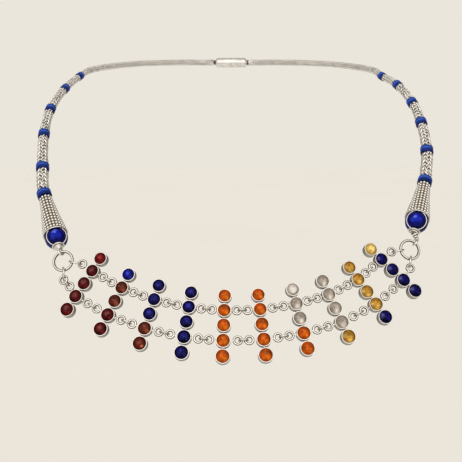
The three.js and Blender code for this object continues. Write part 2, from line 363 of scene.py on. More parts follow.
def turned(
    name: str, outline: Sequence[tuple[float, float]], steps: int, crease: float = 40
) -> bpy.types.Object:
    """Turns an outline about the Z axis, as on a lathe.

    Args:
        name: The piece's name.
        outline: Radius and height of each corner of the outline, in order.
        steps: Faces round the piece.
        crease: Faces that meet more sharply than this keep their edge, in degrees.

    Returns:
        The turned piece.
    """
    profile = bpy.data.meshes.new(name)
    corners = [(radius, 0.0, height) for radius, height in outline]
    profile.from_pydata(corners, [(i, i + 1) for i in range(len(corners) - 1)], [])
    piece = bpy.data.objects.new(name, profile)
    bpy.context.scene.collection.objects.link(piece)
    spun_round(piece, steps)
    return smoothed(piece, crease)


def frame_at(origin: Vector, near_x: Vector, z_axis: Vector) -> Matrix:
    """Makes a frame whose Z axis is exact and whose X axis is as near as it can be.

    Args:
        origin: The frame's origin.
        near_x: The direction that X follows.
        z_axis: The Z axis.

    Returns:
        The frame.
    """
    z_unit = z_axis.normalized()
    y_unit = z_unit.cross(near_x).normalized()
    x_unit = y_unit.cross(z_unit)
    basis = Matrix((x_unit, y_unit, z_unit)).transposed().to_4x4()
    return Matrix.Translation(origin) @ basis


def sized(along_x: float, along_y: float, along_z: float) -> Matrix:
    """Returns a matrix that scales by three factors."""
    return Matrix.Diagonal((along_x, along_y, along_z, 1.0))


def mark(piece: bpy.types.Object, height: Callable[[Vector], float], name: str = "rise") -> None:
    """Writes a number on each point of a mesh, as a rule how far it stands out of the recesses, from 0 to 1.

    Args:
        piece: The piece.
        height: Works the number out from a point.
        name: What the number is called.
    """
    marks = piece.data.attributes.new(name, "FLOAT", "POINT")
    for vertex, number in zip(piece.data.vertices, marks.data):
        number.value = height(vertex.co)


def fit(piece: bpy.types.Object, finish: bpy.types.Material, slot: str, *nodes: str) -> None:
    """Gives a piece its finish, ties it to the body, and hides the CAD nodes that it stands for.

    Args:
        piece: The finished piece.
        finish: Its finish, in place of any that it had.
        slot: Not used.
        nodes: The CAD nodes that it replaces.
    """
    piece.data.materials.clear()
    piece.data.materials.append(finish)
    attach(piece, "root")
    if nodes:
        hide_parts(*nodes)


# Finishes.


class Wire:
    """One value among the nodes, which ordinary arithmetic can be done with."""

    def __init__(self, nodes: "Nodes", socket: bpy.types.NodeSocket) -> None:
        """Keeps the socket and the nodes that it belongs to."""
        self.nodes = nodes
        self.socket = socket

    def __add__(self, other: "Wire | float") -> "Wire":
        """Returns the sum."""
        return self.nodes.math("ADD", self, other)

    def __radd__(self, other: float) -> "Wire":
        """Returns the sum."""
        return self.nodes.math("ADD", other, self)

    def __sub__(self, other: "Wire | float") -> "Wire":
        """Returns the difference."""
        return self.nodes.math("SUBTRACT", self, other)

    def __rsub__(self, other: float) -> "Wire":
        """Returns the difference the other way round."""
        return self.nodes.math("SUBTRACT", other, self)

    def __mul__(self, other: "Wire | float") -> "Wire":
        """Returns the product."""
        return self.nodes.math("MULTIPLY", self, other)


class Nodes:
    """The nodes of a finish or of the sky, under construction."""

    def __init__(self, tree: bpy.types.NodeTree) -> None:
        """Keeps the node tree to work in."""
        self.tree = tree

    def node(
        self, kind: str, settings: dict[str, Any] | None = None, inputs: dict[Any, Any] | None = None
    ) -> bpy.types.Node:
        """Adds a node, sets it up and connects it.

        Args:
            kind: The node's type.
            settings: Its own settings; stops are the stops of a ramp.
            inputs: Values or links for its sockets, by name or number.

        Returns:
            The node.
        """
        made = self.tree.nodes.new(kind)
        for name, value in (settings or {}).items():
            if name == "stops":
                elements = made.color_ramp.elements
                while len(elements) < len(value):
                    elements.new(0.5)
                for element, (place, colour) in zip(elements, value):
                    element.position = place
                    element.color = (*colour, 1.0)
            else:
                setattr(made, name, value)
        for key, value in (inputs or {}).items():
            self.feed(made.inputs[key], value)
        return made

    def feed(self, socket: bpy.types.NodeSocket, value: Any) -> None:
        """Links or sets one socket.

        Args:
            socket: The socket to feed.
            value: A wire, a number, a colour or a vector.
        """
        if isinstance(value, Wire):
            self.tree.links.new(value.socket, socket)
        elif isinstance(value, tuple) and socket.type == "RGBA" and len(value) == 3:
            socket.default_value = (*value, 1.0)
        else:
            socket.default_value = value

    def take(
        self,
        kind: str,
        settings: dict[str, Any] | None = None,
        inputs: dict[Any, Any] | None = None,
        output: int | str = 0,
    ) -> Wire:
        """Adds a node and returns one of its outputs.

        Args:
            kind: The node's type.
            settings: Its own settings, as node takes them.
            inputs: Values or links for its sockets, by name or number.
            output: The output, by name or number.

        Returns:
            The output.
        """
        return Wire(self, self.node(kind, settings, inputs).outputs[output])

    def math(self, operation: str, *values: "Wire | float") -> Wire:
        """Returns what a Math node works out from the numbers that go in."""
        return self.take("ShaderNodeMath", {"operation": operation}, dict(enumerate(values)))

    def mix(
        self, share: "Wire | float", first: "Wire | Colour", second: "Wire | Colour", blend: str = "MIX"
    ) -> Wire:
        """Mixes two colours.

        Args:
            share: How much of the second.
            first: The first colour.
            second: The second colour.
            blend: How they are mixed.

        Returns:
            The mixed colour.
        """
        settings = {"data_type": "RGBA", "blend_type": blend}
        return self.take("ShaderNodeMix", settings, {0: share, 6: first, 7: second}, 2)

    def between(self, value: Wire, low: float, high: float, start: float = 0.0, end: float = 1.0) -> Wire:
        """Goes smoothly from one number to another as a value goes from low to high.

        Args:
            value: The value.
            low: Where the result is still the first number.
            high: Where it has become the second.
            start: The first number.
            end: The second number.

        Returns:
            The result.
        """
        return self.take(
            "ShaderNodeMapRange",
            {"interpolation_type": "SMOOTHSTEP"},
            {"Value": value, "From Min": low, "From Max": high, "To Min": start, "To Max": end},
        )


class Paint(Nodes):
    """A procedural finish under construction: one material and its nodes."""

    def __init__(self, name: str) -> None:
        """Starts an empty finish.

        Args:
            name: The material's name.
        """
        self.material = bpy.data.materials.new(name)
        self.material.use_nodes = True
        super().__init__(self.material.node_tree)
        self.shader = self.tree.nodes["Principled BSDF"]

    def place(self) -> Wire:
        """Returns the point on the piece."""
        return self.take("ShaderNodeTexCoord", output="Object")

    def noise(self, scale: float, detail: float = 2.0) -> Wire:
        """Mottles softly and at random.

        Args:
            scale: How many patches there are in a metre.
            detail: How many finer layers are added.

        Returns:
            The mottling, about 0 to 1.
        """
        inputs = {"Vector": self.place(), "Scale": scale, "Detail": detail}
        return self.take("ShaderNodeTexNoise", None, inputs)

    def marks(self, name: str) -> Wire:
        """Returns a number that the mesh carries at each point."""
        settings = {"attribute_name": name, "attribute_type": "GEOMETRY"}
        return self.take("ShaderNodeAttribute", settings, output="Fac")

    def bump(self, height: Wire, strength: float, distance: float) -> Wire:
        """Raises the surface a little.

        Args:
            height: The relief.
            strength: How strong it shows.
            distance: How high it is.

        Returns:
            The bent normal.
        """
        inputs = {"Height": height, "Strength": strength, "Distance": distance}
        return self.take("ShaderNodeBump", None, inputs)

    def finish(self, **sockets: Any) -> bpy.types.Material:
        """Feeds the shader's sockets.

        Args:
            sockets: Socket names, with _ for a space, and what goes into each.

        Returns:
            The material.
        """
        for name, value in sockets.items():
            self.feed(self.shader.inputs[name.replace("_", " ")], value)
        return self.material


@dataclass(frozen=True)
class SilverFinish:
    """Polished silver with a little wear and tarnish, and painted shade on the flanks of its wires and on its
    settings.
    """

    name: str = "polished silver"
    bright: Colour = srgb(249, 243, 233)
    dull: Colour = srgb(190, 178, 158)
    shade: Colour = srgb(92, 79, 60)
    flank_low: float = 0.03
    flank_high: float = 0.48
    tarnish: float = 0.3
    rough: float = 0.22
    cloud_rough: float = 0.1
    scuff_rough: float = 0.06
    scuff_deep: float = 0.02 * MM
    patch: float = 700.0
    scratch: float = 9000.0

    def material(self) -> bpy.types.Material:
        """Builds the material. The mesh carries the painted shade as flank.

        Returns:
            The material.
        """
        paint = Paint(self.name)
        clouds = paint.between(paint.noise(self.patch, 3.0), 0.45, 0.75)
        flank = paint.between(paint.marks("flank"), self.flank_low, self.flank_high)
        colour = paint.mix(flank, paint.mix(clouds * self.tarnish, self.bright, self.dull), self.shade)
        scuffs = paint.noise(self.scratch, 2.0)
        return paint.finish(
            Base_Color=colour,
            Metallic=1.0,
            Roughness=self.rough + clouds * self.cloud_rough + scuffs * self.scuff_rough,
            Normal=paint.bump(scuffs, 0.05, self.scuff_deep),
        )


@dataclass(frozen=True)
class OxidisedFinish:
    """Silver work that is dark in its recesses, with oxide and painted shade there, and bright where it was
    polished.
    """

    name: str
    dark: Colour
    low: float
    high: float
    bright: Colour = srgb(249, 243, 233)
    rough: float = 0.22
    recess_rough: float = 0.5
    uneven: float = 0.25
    patch: float = 900.0
    grain: float = 7000.0
    grain_deep: float = 0.02 * MM

    def material(self) -> bpy.types.Material:
        """Builds the material. The mesh carries its own height as rise, from 0 in the recesses, which it
        darkens as oxide and as painted shade.

        Returns:
            The material.
        """
        paint = Paint(self.name)
        rise = paint.marks("rise")
        clouds = paint.noise(self.patch, 2.0)
        shown = paint.between(rise + (clouds - 0.5) * self.uneven, self.low, self.high)
        return paint.finish(
            Base_Color=paint.mix(shown, self.dark, self.bright),
            Metallic=1.0,
            Roughness=self.recess_rough - shown * (self.recess_rough - self.rough),
            Normal=paint.bump(paint.noise(self.grain), 0.1, self.grain_deep),
        )


@dataclass(frozen=True)
class EnamelFinish:
    """Glossy blue enamel, with a painted highlight just above the sleeve's groove and painted shade towards
    its lower edge.
    """

    name: str = "blue enamel"
    # The enamel goes from deep, its painted shade, to light, its painted highlight.
    deep: Colour = srgb(8, 27, 92)
    light: Colour = srgb(60, 104, 212)
    uneven: float = 0.25
    patch: float = 700.0

    def material(self) -> bpy.types.Material:
        """Builds the material. The mesh says how light the enamel is as rise, from 0 to 1.

        Returns:
            The material.
        """
        paint = Paint(self.name)
        clouds = paint.noise(self.patch)
        shown = paint.between(paint.marks("rise") + (clouds - 0.5) * self.uneven, 0.0, 1.0)
        return paint.finish(
            Base_Color=paint.mix(shown, self.deep, self.light),
            Roughness=0.22,
            Specular_IOR_Level=0.08,
            Coat_Weight=0.15,
            Coat_Roughness=0.12,
        )


@dataclass(frozen=True)
class Spot:
    """A soft patch of painted light on a stone, a reflection, a glow or a shadow, measured in the stone's own
    radius, with the sky above it.
    """

    across: float
    up: float
    core: float
    reach: float
    colour: Colour
    share: float = 1.0


@dataclass(frozen=True)
class StoneFinish:
    """A cut stone with painted light: painted shade at its girdle, and painted reflections, glows and shadows
    where its table and its back facets catch the light.
    """

    name: str
    edge: Colour
    body: Colour
    spots: tuple[Spot, ...]
    # How strongly the painted glints and shade on the facets show.
    sparkle: float = 1.8
    rough: float = 0.12
    cells: float = 1300.0
    wedges: int = 8
    crown_across: float = 0.06
    crown_up: float = 0.04
    crown_edge: float = 0.46
    crown_lot: float = 31.0
    fine: float = 0.35
    jag: float = 0.42
    edge_from: float = 0.42
    edge_to: float = 0.85
    coat: float = 0.03

    def material(self) -> bpy.types.Material:
        """Builds the material.

        The stone's own UV map runs from 0 to 1 across it, with its top towards the sky, and its lot tells
        it apart from its neighbours.

        Returns:
            The material.
        """
        paint = Paint(self.name)
        laid = paint.take("ShaderNodeUVMap", {"uv_map": "stone"})
        own = paint.node("ShaderNodeSeparateXYZ", None, {0: laid})
        across = Wire(paint, own.outputs[0]) * 2.0 - 1.0
        upward = Wire(paint, own.outputs[1]) * 2.0 - 1.0

        def away(from_x: float, from_y: float) -> Wire:
            """Works out the distance from a point of the stone.

            Args:
                from_x: The point's place across the stone.
                from_y: Its place up the stone.

            Returns:
                The distance, in the stone's radius.
            """
            side = across - from_x
            rise = upward - from_y
            return paint.math("SQRT", side * side + rise * rise)

        # Each facet gets a brightness of its own at random: painted glints and shade on the facets.
        turn = paint.math("ARCTAN2", upward, across) * (self.wedges / FULL_TURN)
        crown = paint.math("GREATER_THAN", away(self.crown_across, self.crown_up), self.crown_edge)
        facet = paint.math("FLOOR", turn + crown * 0.5) + crown * self.crown_lot + paint.marks("lot")
        coarse = paint.take("ShaderNodeTexWhiteNoise", {"noise_dimensions": "1D"}, {"W": facet})
        cells = {"Vector": paint.place(), "Scale": self.cells, "Randomness": 1.0}
        cell = paint.take("ShaderNodeTexVoronoi", None, cells, "Color")
        fine = paint.take("ShaderNodeSeparateColor", None, {0: cell})
        grain = fine * self.fine + paint.between(coarse, 0.4, 0.6) * (1.0 - self.fine)
        jag = (grain - 0.5) * self.jag
        # Painted shade towards the girdle.
        edge = paint.between(away(0.0, 0.0) + jag, self.edge_from, self.edge_to)
        colour = paint.mix(edge, self.body, self.edge)
        # Each spot is a painted reflection, glow or shadow.
        for spot in self.spots:
            share = 1.0 - paint.between(away(spot.across, spot.up) + jag, spot.core, spot.reach)
            colour = paint.mix(share * spot.share, colour, spot.colour)
        dim = grain * self.sparkle + (1.0 - self.sparkle / 2)
        grey = paint.take("ShaderNodeCombineColor", None, {0: dim, 1: dim, 2: dim})
        colour = paint.mix(1.0, colour, grey, "MULTIPLY")
        return paint.finish(
            Base_Color=colour,
            Roughness=self.rough,
            Specular_IOR_Level=0.04,
            Coat_Weight=self.coat,
            Coat_Roughness=0.05,
        )


@dataclass(frozen=True)
class BallFinish:
    """Deep blue hard stone, polished."""

    name: str = "blue ball"
    deep: Colour = srgb(6, 12, 84)
    light: Colour = srgb(10, 26, 114)
    patch: float = 260.0

    def material(self) -> bpy.types.Material:
        """Builds the material.

        Returns:
            The material.
        """
        paint = Paint(self.name)
        clouds = paint.between(paint.noise(self.patch, 3.0), 0.35, 0.65)
        return paint.finish(
            Base_Color=paint.mix(clouds, self.deep, self.light),
            Roughness=0.15 + clouds * 0.1,
            Specular_IOR_Level=0.06,
            Coat_Weight=0.14,
            Coat_Roughness=0.06,
        )


def table(colour: Colour, share: float = 1.0) -> Spot:
    """Returns the painted reflection of the sky, a haze, on a stone's table."""
    return Spot(-0.04, 0.1, 0.3, 0.47, colour, share)


def glow(colour: Colour, share: float = 1.0) -> Spot:
    """Returns a painted glow: light gathered low on the right."""
    return Spot(0.38, -0.45, 0.12, 0.36, colour, share)


class Gem(Enum):
    """The stones, each with its material slot and its finish."""

    # Each stone's edge colour is painted shade at its girdle, and its spots are painted reflections, glows
    # and shadows.
    GARNET = (
        "stone_garnet",
        StoneFinish(
            "garnet", srgb(52, 6, 6), srgb(66, 10, 10), (table(srgb(104, 54, 53)), glow(srgb(112, 16, 20)))
        ),
    )
    RED_GARNET = (
        "stone_garnet",
        StoneFinish(
            "red garnet",
            srgb(70, 8, 8),
            srgb(92, 8, 8),
            (
                table(srgb(140, 44, 50)),
                glow(srgb(140, 34, 32)),
                Spot(-0.4, -0.4, 0.05, 0.35, srgb(122, 28, 32)),
            ),
        ),
    )
    BROWN_GARNET = (
        "stone_garnet",
        StoneFinish(
            "brown garnet",
            srgb(54, 16, 8),
            srgb(76, 26, 14),
            (table(srgb(100, 54, 44)), Spot(0.35, -0.42, 0.05, 0.42, srgb(182, 92, 62))),
        ),
    )
    BLUE = (
        "stone_blue",
        StoneFinish(
            "blue stone",
            srgb(3, 2, 40),
            srgb(12, 12, 72),
            (
                table(srgb(38, 38, 130)),
                Spot(0.4, -0.4, 0.05, 0.32, srgb(34, 32, 108)),
                Spot(0.0, -0.6, 0.1, 0.42, srgb(1, 0, 30)),
            ),
        ),
    )
    NIGHT_BLUE = (
        "stone_blue",
        StoneFinish(
            "night blue stone",
            srgb(4, 3, 44),
            srgb(8, 8, 84),
            (
                Spot(-0.5, 0.15, 0.02, 0.4, srgb(96, 94, 162)),
                Spot(0.4, -0.4, 0.05, 0.3, srgb(32, 30, 104)),
                Spot(0.0, -0.55, 0.1, 0.4, srgb(2, 2, 40)),
            ),
        ),
    )
    ROYAL_BLUE = (
        "stone_blue",
        StoneFinish(
            "royal blue stone",
            srgb(6, 8, 78),
            srgb(4, 10, 108),
            (table(srgb(50, 60, 176)), glow(srgb(40, 52, 180))),
        ),
    )
    ORANGE = (
        "stone_orange",
        StoneFinish(
            "orange stone",
            srgb(134, 54, 6),
            srgb(168, 70, 6),
            (
                table(srgb(186, 88, 28), 0.8),
                Spot(0.35, -0.42, 0.05, 0.5, srgb(228, 116, 20)),
                Spot(-0.35, -0.45, 0.05, 0.4, srgb(216, 100, 10), 0.7),
            ),
            sparkle=1.25,
        ),
    )
    CLEAR = (
        "stone_clear",
        StoneFinish(
            "clear stone",
            srgb(118, 109, 97),
            srgb(158, 147, 135),
            (
                Spot(0.15, -0.6, 0.1, 0.66, srgb(222, 211, 198)),
                Spot(0.15, -0.4, 0.02, 0.25, srgb(250, 246, 240), 0.7),
            ),
            sparkle=1.0,
        ),
    )
    BRIGHT_CLEAR = (
        "stone_clear",
        StoneFinish(
            "bright clear stone",
            srgb(140, 131, 120),
            srgb(196, 188, 180),
            (
                Spot(0.0, -0.2, 0.2, 0.7, srgb(226, 219, 212)),
                Spot(0.1, -0.35, 0.02, 0.3, srgb(252, 248, 244), 0.8),
            ),
            sparkle=0.8,
        ),
    )
    YELLOW = (
        "stone_yellow",
        StoneFinish(
            "yellow stone",
            srgb(118, 80, 24),
            srgb(166, 120, 42),
            (Spot(-0.6, 0.0, 0.05, 0.45, srgb(204, 166, 88)), Spot(0.1, -0.5, 0.1, 0.7, srgb(214, 170, 78))),
            sparkle=1.25,
        ),
    )
    PALE_YELLOW = (
        "stone_yellow",
        StoneFinish(
            "pale yellow stone",
            srgb(158, 126, 58),
            srgb(218, 184, 100),
            (Spot(0.0, 0.05, 0.1, 0.6, srgb(242, 214, 136)), Spot(0.0, -0.55, 0.05, 0.4, srgb(222, 180, 88))),
            sparkle=1.0,
        ),
    )

    @property
    def slot(self) -> str:
        """Its material slot."""
        return self.value[0]

    @property
    def finish(self) -> StoneFinish:
        """The stone's finish."""
        return self.value[1]


# The front: bars, stones and strands.


def panel_point(across: float, up: float) -> Vector:
    """Returns a point of the curved surface that the bars lie on.

    Args:
        across: Distance to the viewer's right of the middle.
        up: Height above the middle of the front.

    Returns:
        The point.
    """
    back = across**2 / (2 * FRONT_RADIUS) + (up - FRONT_LEVEL) * FRONT_LEAN
    return FRONT_MIDDLE + Vector((across, back, up))


def panel_normal(across: float) -> Vector:
    """Returns the direction out of the bars' surface."""
    return Vector((across / FRONT_RADIUS, -1.0, FRONT_LEAN)).normalized()


@dataclass
class Setting:
    """A round bezel setting, which comes in five sizes, and the stone in it."""

    top: float = 4.65 * MM
    growth: float = 0.1 * MM
    between: float = 0.25 * MM
    deep: float = 2.3 * MM
    rim: float = 0.285 * MM
    seat: float = 0.4 * MM
    bands: int = 7
    edge: float = 0.07 * MM
    crown: float = 0.45 * MM
    girdle: float = -0.14 * MM
    under_rim: float = 0.03 * MM
    off_seat: float = 0.02 * MM
    table: float = 0.56
    step: float = 0.8
    first_rise: float = 0.62
    twist: float = 0.37
    sides: int = 40
    cuts: int = 16
    count: int = 5
    # Painted shade on a bezel's rim, its lip, its wall and its foot, and how much more in a crevice, where a
    # wall faces the next bezel.
    worn: float = 0.05
    lip: float = 0.34
    wall: float = 0.29
    foot: float = 0.34
    crevice: float = 0.22
    # Where those parts are: shares of the edge, the rim, the depth, the depth and the radius.
    lip_wide: float = 0.6
    rim_wide: float = 1.2
    wall_from: float = 0.1
    foot_from: float = 0.85
    crowded: float = 0.7

    def outer(self, number: int) -> float:
        """Returns a bezel's outer radius, counted from the top."""
        return (self.top + self.growth * number) / 2

    def heights(self) -> list[float]:
        """Works out the height of each bezel's middle on its bar.

        Returns:
            Five heights, from the bar's middle bezel.
        """
        middle = self.count // 2

        def pitch(number: int) -> float:
            """Returns the distance from a bezel to the next one down."""
            return self.outer(number) + self.outer(number + 1) + self.between

        above = [sum(pitch(j) for j in range(i, middle)) for i in range(middle)]
        below = [-sum(pitch(j) for j in range(middle, i)) for i in range(middle, self.count)]
        return above + below

    def bezel(self, number: int) -> bpy.types.Object:
        """Raises one bezel from a disc: the seat is sunk, and the rim and the foot are rounded.

        Args:
            number: Its place on the bar, from the top.

        Returns:
            The bezel, with its rim at height 0.
        """
        outer = self.outer(number)
        lay_down_all()
        bpy.ops.mesh.primitive_cylinder_add(
            vertices=self.sides, radius=outer, depth=self.deep, location=(0, 0, -self.deep / 2)
        )
        cup = settled(bpy.context.active_object)
        with at_work_on(cup):
            choose(cup, Pick.FACES, lambda face: face.normal.z > LEVEL)
            bpy.ops.mesh.inset(thickness=self.rim)
            bpy.ops.mesh.extrude_region_move(TRANSFORM_OT_translate={"value": (0, 0, -self.seat)})
            choose(
                cup,
                Pick.EDGES,
                lambda edge: all(vertex.co.z > -self.edge for vertex in edge.verts)
                and edge.calc_face_angle(0.0) > SHARP,
            )
            bpy.ops.mesh.bevel(offset=self.edge, segments=3, profile=0.5)
            choose(cup, Pick.FACES, lambda face: face.normal.z < -LEVEL)
            bpy.ops.mesh.inset(thickness=self.edge)
            bpy.ops.transform.translate(value=(0, 0, -self.edge / 2))
            choose(cup, Pick.EDGES, lambda edge: rise_of(edge) > self.deep / 2)
            bpy.ops.mesh.subdivide(number_cuts=self.bands - 1)
        mark(cup, lambda co: self.dullness(co, number), "flank")
        return smoothed(cup, 40)

    def crowding(self, co: Vector, number: int) -> float:
        """Works out how squarely a bezel's wall faces the next bezel on the bar.

        Args:
            co: A point on it.
            number: Its place on the bar, from the top.

        Returns:
            A share from 0 to 1.
        """
        along = co.y / self.outer(number)
        if along > 0 and number == 0 or along < 0 and number == self.count - 1:
            return 0.0
        return max(0.0, (abs(along) - self.crowded) / (1 - self.crowded))

    def dullness(self, co: Vector, number: int) -> float:
        """Works out how much shade is painted on a bezel.

        Its rim has a little painted shade inside a darker lip, and its wall has more, deepening at the foot
        and in a crevice that faces the next bezel.

        Args:
            co: A point on it.
            number: Its place on the bar, from the top.

        Returns:
            The painted shade there, from 0.
        """
        outer = self.outer(number)
        if co.z > -self.wall_from * self.deep:
            reach = math.hypot(co.x, co.y)
            if reach > outer - self.edge * self.lip_wide:
                return self.lip
            return self.worn if reach > outer - self.rim * self.rim_wide else self.wall
        if co.z < -self.deep - self.edge / 4:
            return 0.0
        bare = self.wall if co.z > -self.foot_from * self.deep else self.foot
        return bare + self.crevice * self.crowding(co, number)

    def stone(self, number: int) -> bpy.types.Object:
        """Cuts one stone: a girdle band, two rows of crown facets and a flat table.

        Args:
            number: The place of its bezel on the bar, from the top.

        Returns:
            The stone, with the bezel's rim at height 0.
        """
        radius = self.outer(number) - self.rim + self.under_rim
        foot = -self.seat + self.off_seat
        lay_down_all()
        bpy.ops.mesh.primitive_cylinder_add(
            vertices=self.cuts,
            radius=radius,
            depth=self.girdle - foot,
            location=(0, 0, (self.girdle + foot) / 2),
        )
        rough = settled(bpy.context.active_object)
        high = self.crown - self.girdle
        rises = high * self.first_rise, high * (1 - self.first_rise)
        insets = radius * (1 - self.step), radius * (self.step - self.table)
        with at_work_on(rough):
            for rise, inset in zip(rises, insets):
                choose(
                    rough,
                    Pick.FACES,
                    lambda face: face.normal.z > LEVEL and face.calc_center_median().z > foot,
                )
                bpy.ops.mesh.inset(thickness=inset)
                bpy.ops.transform.translate(value=(0, 0, rise))
                bpy.ops.transform.rotate(
                    value=math.pi / self.cuts, orient_axis="Z", center_override=(0.0, 0.0, 0.0)
                )
        return smoothed(rough, 12)


@dataclass
class Fittings:
    """The small silver parts between bezels: solder necks, eyelets with their stalks, and links."""

    neck: float = 0.85 * MM
    neck_waist: float = 0.42
    neck_flat: float = 0.9
    neck_sunk: float = 0.3 * MM
    neck_level: float = -0.95 * MM
    # Painted shade on the solder necks between the bezels.
    neck_dull: float = 0.32
    stalk: float = 0.368 * MM
    stalk_waist: float = 0.8
    stalk_sunk: float = 0.1 * MM
    stalk_into_ring: float = 0.05 * MM
    solder_sides: int = 12
    ring: float = 1.69 * MM
    wire: float = 0.84 * MM
    level: float = -1.1 * MM
    sides: int = 12
    steps: int = 32

    @property
    def line(self) -> float:
        """Radius of an eyelet's middle line."""
        return self.ring - self.wire / 2

    def eyelet(self) -> bpy.types.Object:
        """Returns one flat ring."""
        return wire_ring("eyelet", self.line, self.wire, self.sides, self.steps, dull_flanks)

    def solder_neck(self, name: str, waist: float) -> bpy.types.Object:
        """Draws a short rod in at its middle, as solder runs between two parts.

        Args:
            name: The rod's name.
            waist: Its narrowest radius as a share of its ends.

        Returns:
            A rod of unit length and unit end radius along Z, starting at the origin.
        """
        lay_down_all()
        bpy.ops.mesh.primitive_cylinder_add(
            vertices=self.solder_sides, radius=1.0, depth=1.0, location=(0, 0, 0.5)
        )
        rod = settled(bpy.context.active_object)
        rod.name = name
        with at_work_on(rod):
            choose(rod, Pick.EDGES, lambda edge: rise_of(edge) > 0.5)
            bpy.ops.mesh.subdivide(number_cuts=5)
        for vertex in rod.data.vertices:
            share = abs(vertex.co.z - 0.5) * 2
            width = waist + (1 - waist) * share**2
            vertex.co.x *= width
            vertex.co.y *= width
        return smoothed(rod, 50)

    def rod_between(
        self, pattern: bpy.types.Object, start: Vector, end: Vector, radius: float, flat: float = 1.0
    ) -> bpy.types.Object:
        """Copies a solder rod between two points.

        Args:
            pattern: The rod to copy.
            start: One end.
            end: The other end.
            radius: Radius of its ends.
            flat: Its depth as a share of its width.

        Returns:
            The copy.
        """
        along = end - start
        place = frame_at(start, Vector((0, 0, 1)).cross(along), along)
        return copied(pattern, place @ sized(radius, radius * flat, along.length))

    def link(
        self, name: str, near: Vector, far: Vector, out: Vector, held_wire: float, wire: float = 0.6 * MM
    ) -> bpy.types.Object:
        """Bends a round link that holds two wires.

        Args:
            name: The link's name.
            near: The middle of one wire.
            far: The middle of the other wire.
            out: The direction out of the front, which lies in the link's plane.
            held_wire: Thickness of the wire that it holds.
            wire: Thickness of its own wire.

        Returns:
            The link, in place.
        """
        along = far - near
        inner = along.length / 2 + held_wire / 2 + GAP
        ring = wire_ring(name, inner + wire / 2, wire, self.sides, self.steps, dull_cheeks)
        ring.data.transform(frame_at((near + far) / 2, along, out.cross(along)))
        return ring


def wire_point(middle: Vector, normal: Vector, line: float, target: Vector) -> Vector:
    """Finds the point on a ring's wire that lies furthest towards a target.

    Args:
        middle: The ring's middle.
        normal: The ring's axis.
        line: Radius of its middle line.
        target: The target.

    Returns:
        The point.
    """
    towards = target - middle
    towards -= normal * towards.dot(normal)
    return middle + towards.normalized() * line


@dataclass
class Bar:
    """A bar of five stones, hung between two strands by four eyelets."""

    name: str
    across: float
    up: float
    turn: float
    gems: tuple[Gem, ...]
    setting: Setting = field(default_factory=Setting)
    fittings: Fittings = field(default_factory=Fittings)
    eyelets: dict[tuple[Strand, Side], Vector] = field(default_factory=dict)

    @property
    def normal(self) -> Vector:
        """The direction that its stones face."""
        return panel_normal(self.across)

    @property
    def place(self) -> Matrix:
        """The bar's own frame: X to its right, Y up along it, Z out of it.

        Returns:
            The frame.
        """
        sway, rise = -math.sin(self.turn), math.cos(self.turn)
        upwards = Vector((sway, sway * self.across / FRONT_RADIUS + rise * FRONT_LEAN, rise))
        return frame_at(panel_point(self.across, self.up), upwards.cross(self.normal), self.normal)

    def eyelet_at(self, number: int, turn: float, stalk: float, most: float = math.inf) -> Vector:
        """Places an eyelet beside a bezel.

        Args:
            number: The bezel, from the top.
            turn: The eyelet's direction from the bar's right.
            stalk: The length of its stalk.
            most: The furthest that its middle may stand from the bezel's middle.

        Returns:
            The eyelet's middle in the bar's own frame.
        """
        reach = min(self.setting.outer(number) + stalk + self.fittings.ring, most)
        height = self.setting.heights()[number]
        return Vector((math.cos(turn) * reach, height + math.sin(turn) * reach, self.fittings.level))

    def way_to(self, other: "Bar", number: int) -> Vector:
        """Returns the way to the same bezel of another bar, in this bar's own frame."""
        middle = Vector((0, self.setting.heights()[number], self.fittings.level))
        return self.place.inverted() @ (other.place @ middle) - middle

    def build(
        self, patterns: "BarPatterns", strand_bezels: dict[Strand, int], silver: bpy.types.Material
    ) -> None:
        """Joins the bar's silver from its patterns and sets its stones.

        Args:
            patterns: The pieces that repeat.
            strand_bezels: The bezel that carries each strand's eyelets.
            silver: The finish of its silver.
        """
        fittings, outer = self.fittings, self.setting.outer
        heights = self.setting.heights()
        pieces = [
            copied(patterns.bezels[i], Matrix.Translation((0, height, 0))) for i, height in enumerate(heights)
        ]
        for i in range(len(heights) - 1):
            start = Vector((0, heights[i] - outer(i) + fittings.neck_sunk, fittings.neck_level))
            end = Vector((0, heights[i + 1] + outer(i + 1) - fittings.neck_sunk, fittings.neck_level))
            pieces.append(fittings.rod_between(patterns.neck, start, end, fittings.neck, fittings.neck_flat))
        for (strand, _), middle in self.eyelets.items():
            number = strand_bezels[strand]
            root = Vector((0, heights[number], fittings.level))
            out = (middle - root).normalized()
            start = root + out * (outer(number) - fittings.stalk_sunk)
            end = middle - out * (fittings.line - fittings.stalk_into_ring)
            pieces.append(fittings.rod_between(patterns.stalk, start, end, fittings.stalk))
            pieces.append(copied(patterns.eyelet, Matrix.Translation(middle)))
        silverwork = joined(self.name + "_silver", pieces)
        silverwork.data.transform(self.place)
        fit(silverwork, silver, "silver", self.name)
        for i, gem in enumerate(self.gems):
            self.set_stone(patterns, i, gem)

    def set_stone(self, patterns: "BarPatterns", number: int, gem: Gem) -> None:
        """Sets one stone, and lays its own UV map with its top towards the sky.

        Args:
            patterns: The pieces that repeat.
            number: Its bezel, from the top.
            gem: Which stone it is.
        """
        height = self.setting.heights()[number]
        seat = self.place @ Matrix.Translation((0, height, 0))
        twist = Matrix.Rotation(self.setting.twist * number, 4, "Z")
        stone = copied(patterns.stones[number], seat @ twist)
        stone.name = f"{self.name}_stone_{number + 1}"
        map_across(stone, seat.translation, self.normal, self.setting.outer(number))
        lot = round((self.across / MM + number * 3.1) * 7.0) * 1.37  # tells it apart from its neighbours
        mark(stone, lambda co: lot, "lot")
        fit(stone, patterns.gem_finishes[gem], gem.slot)


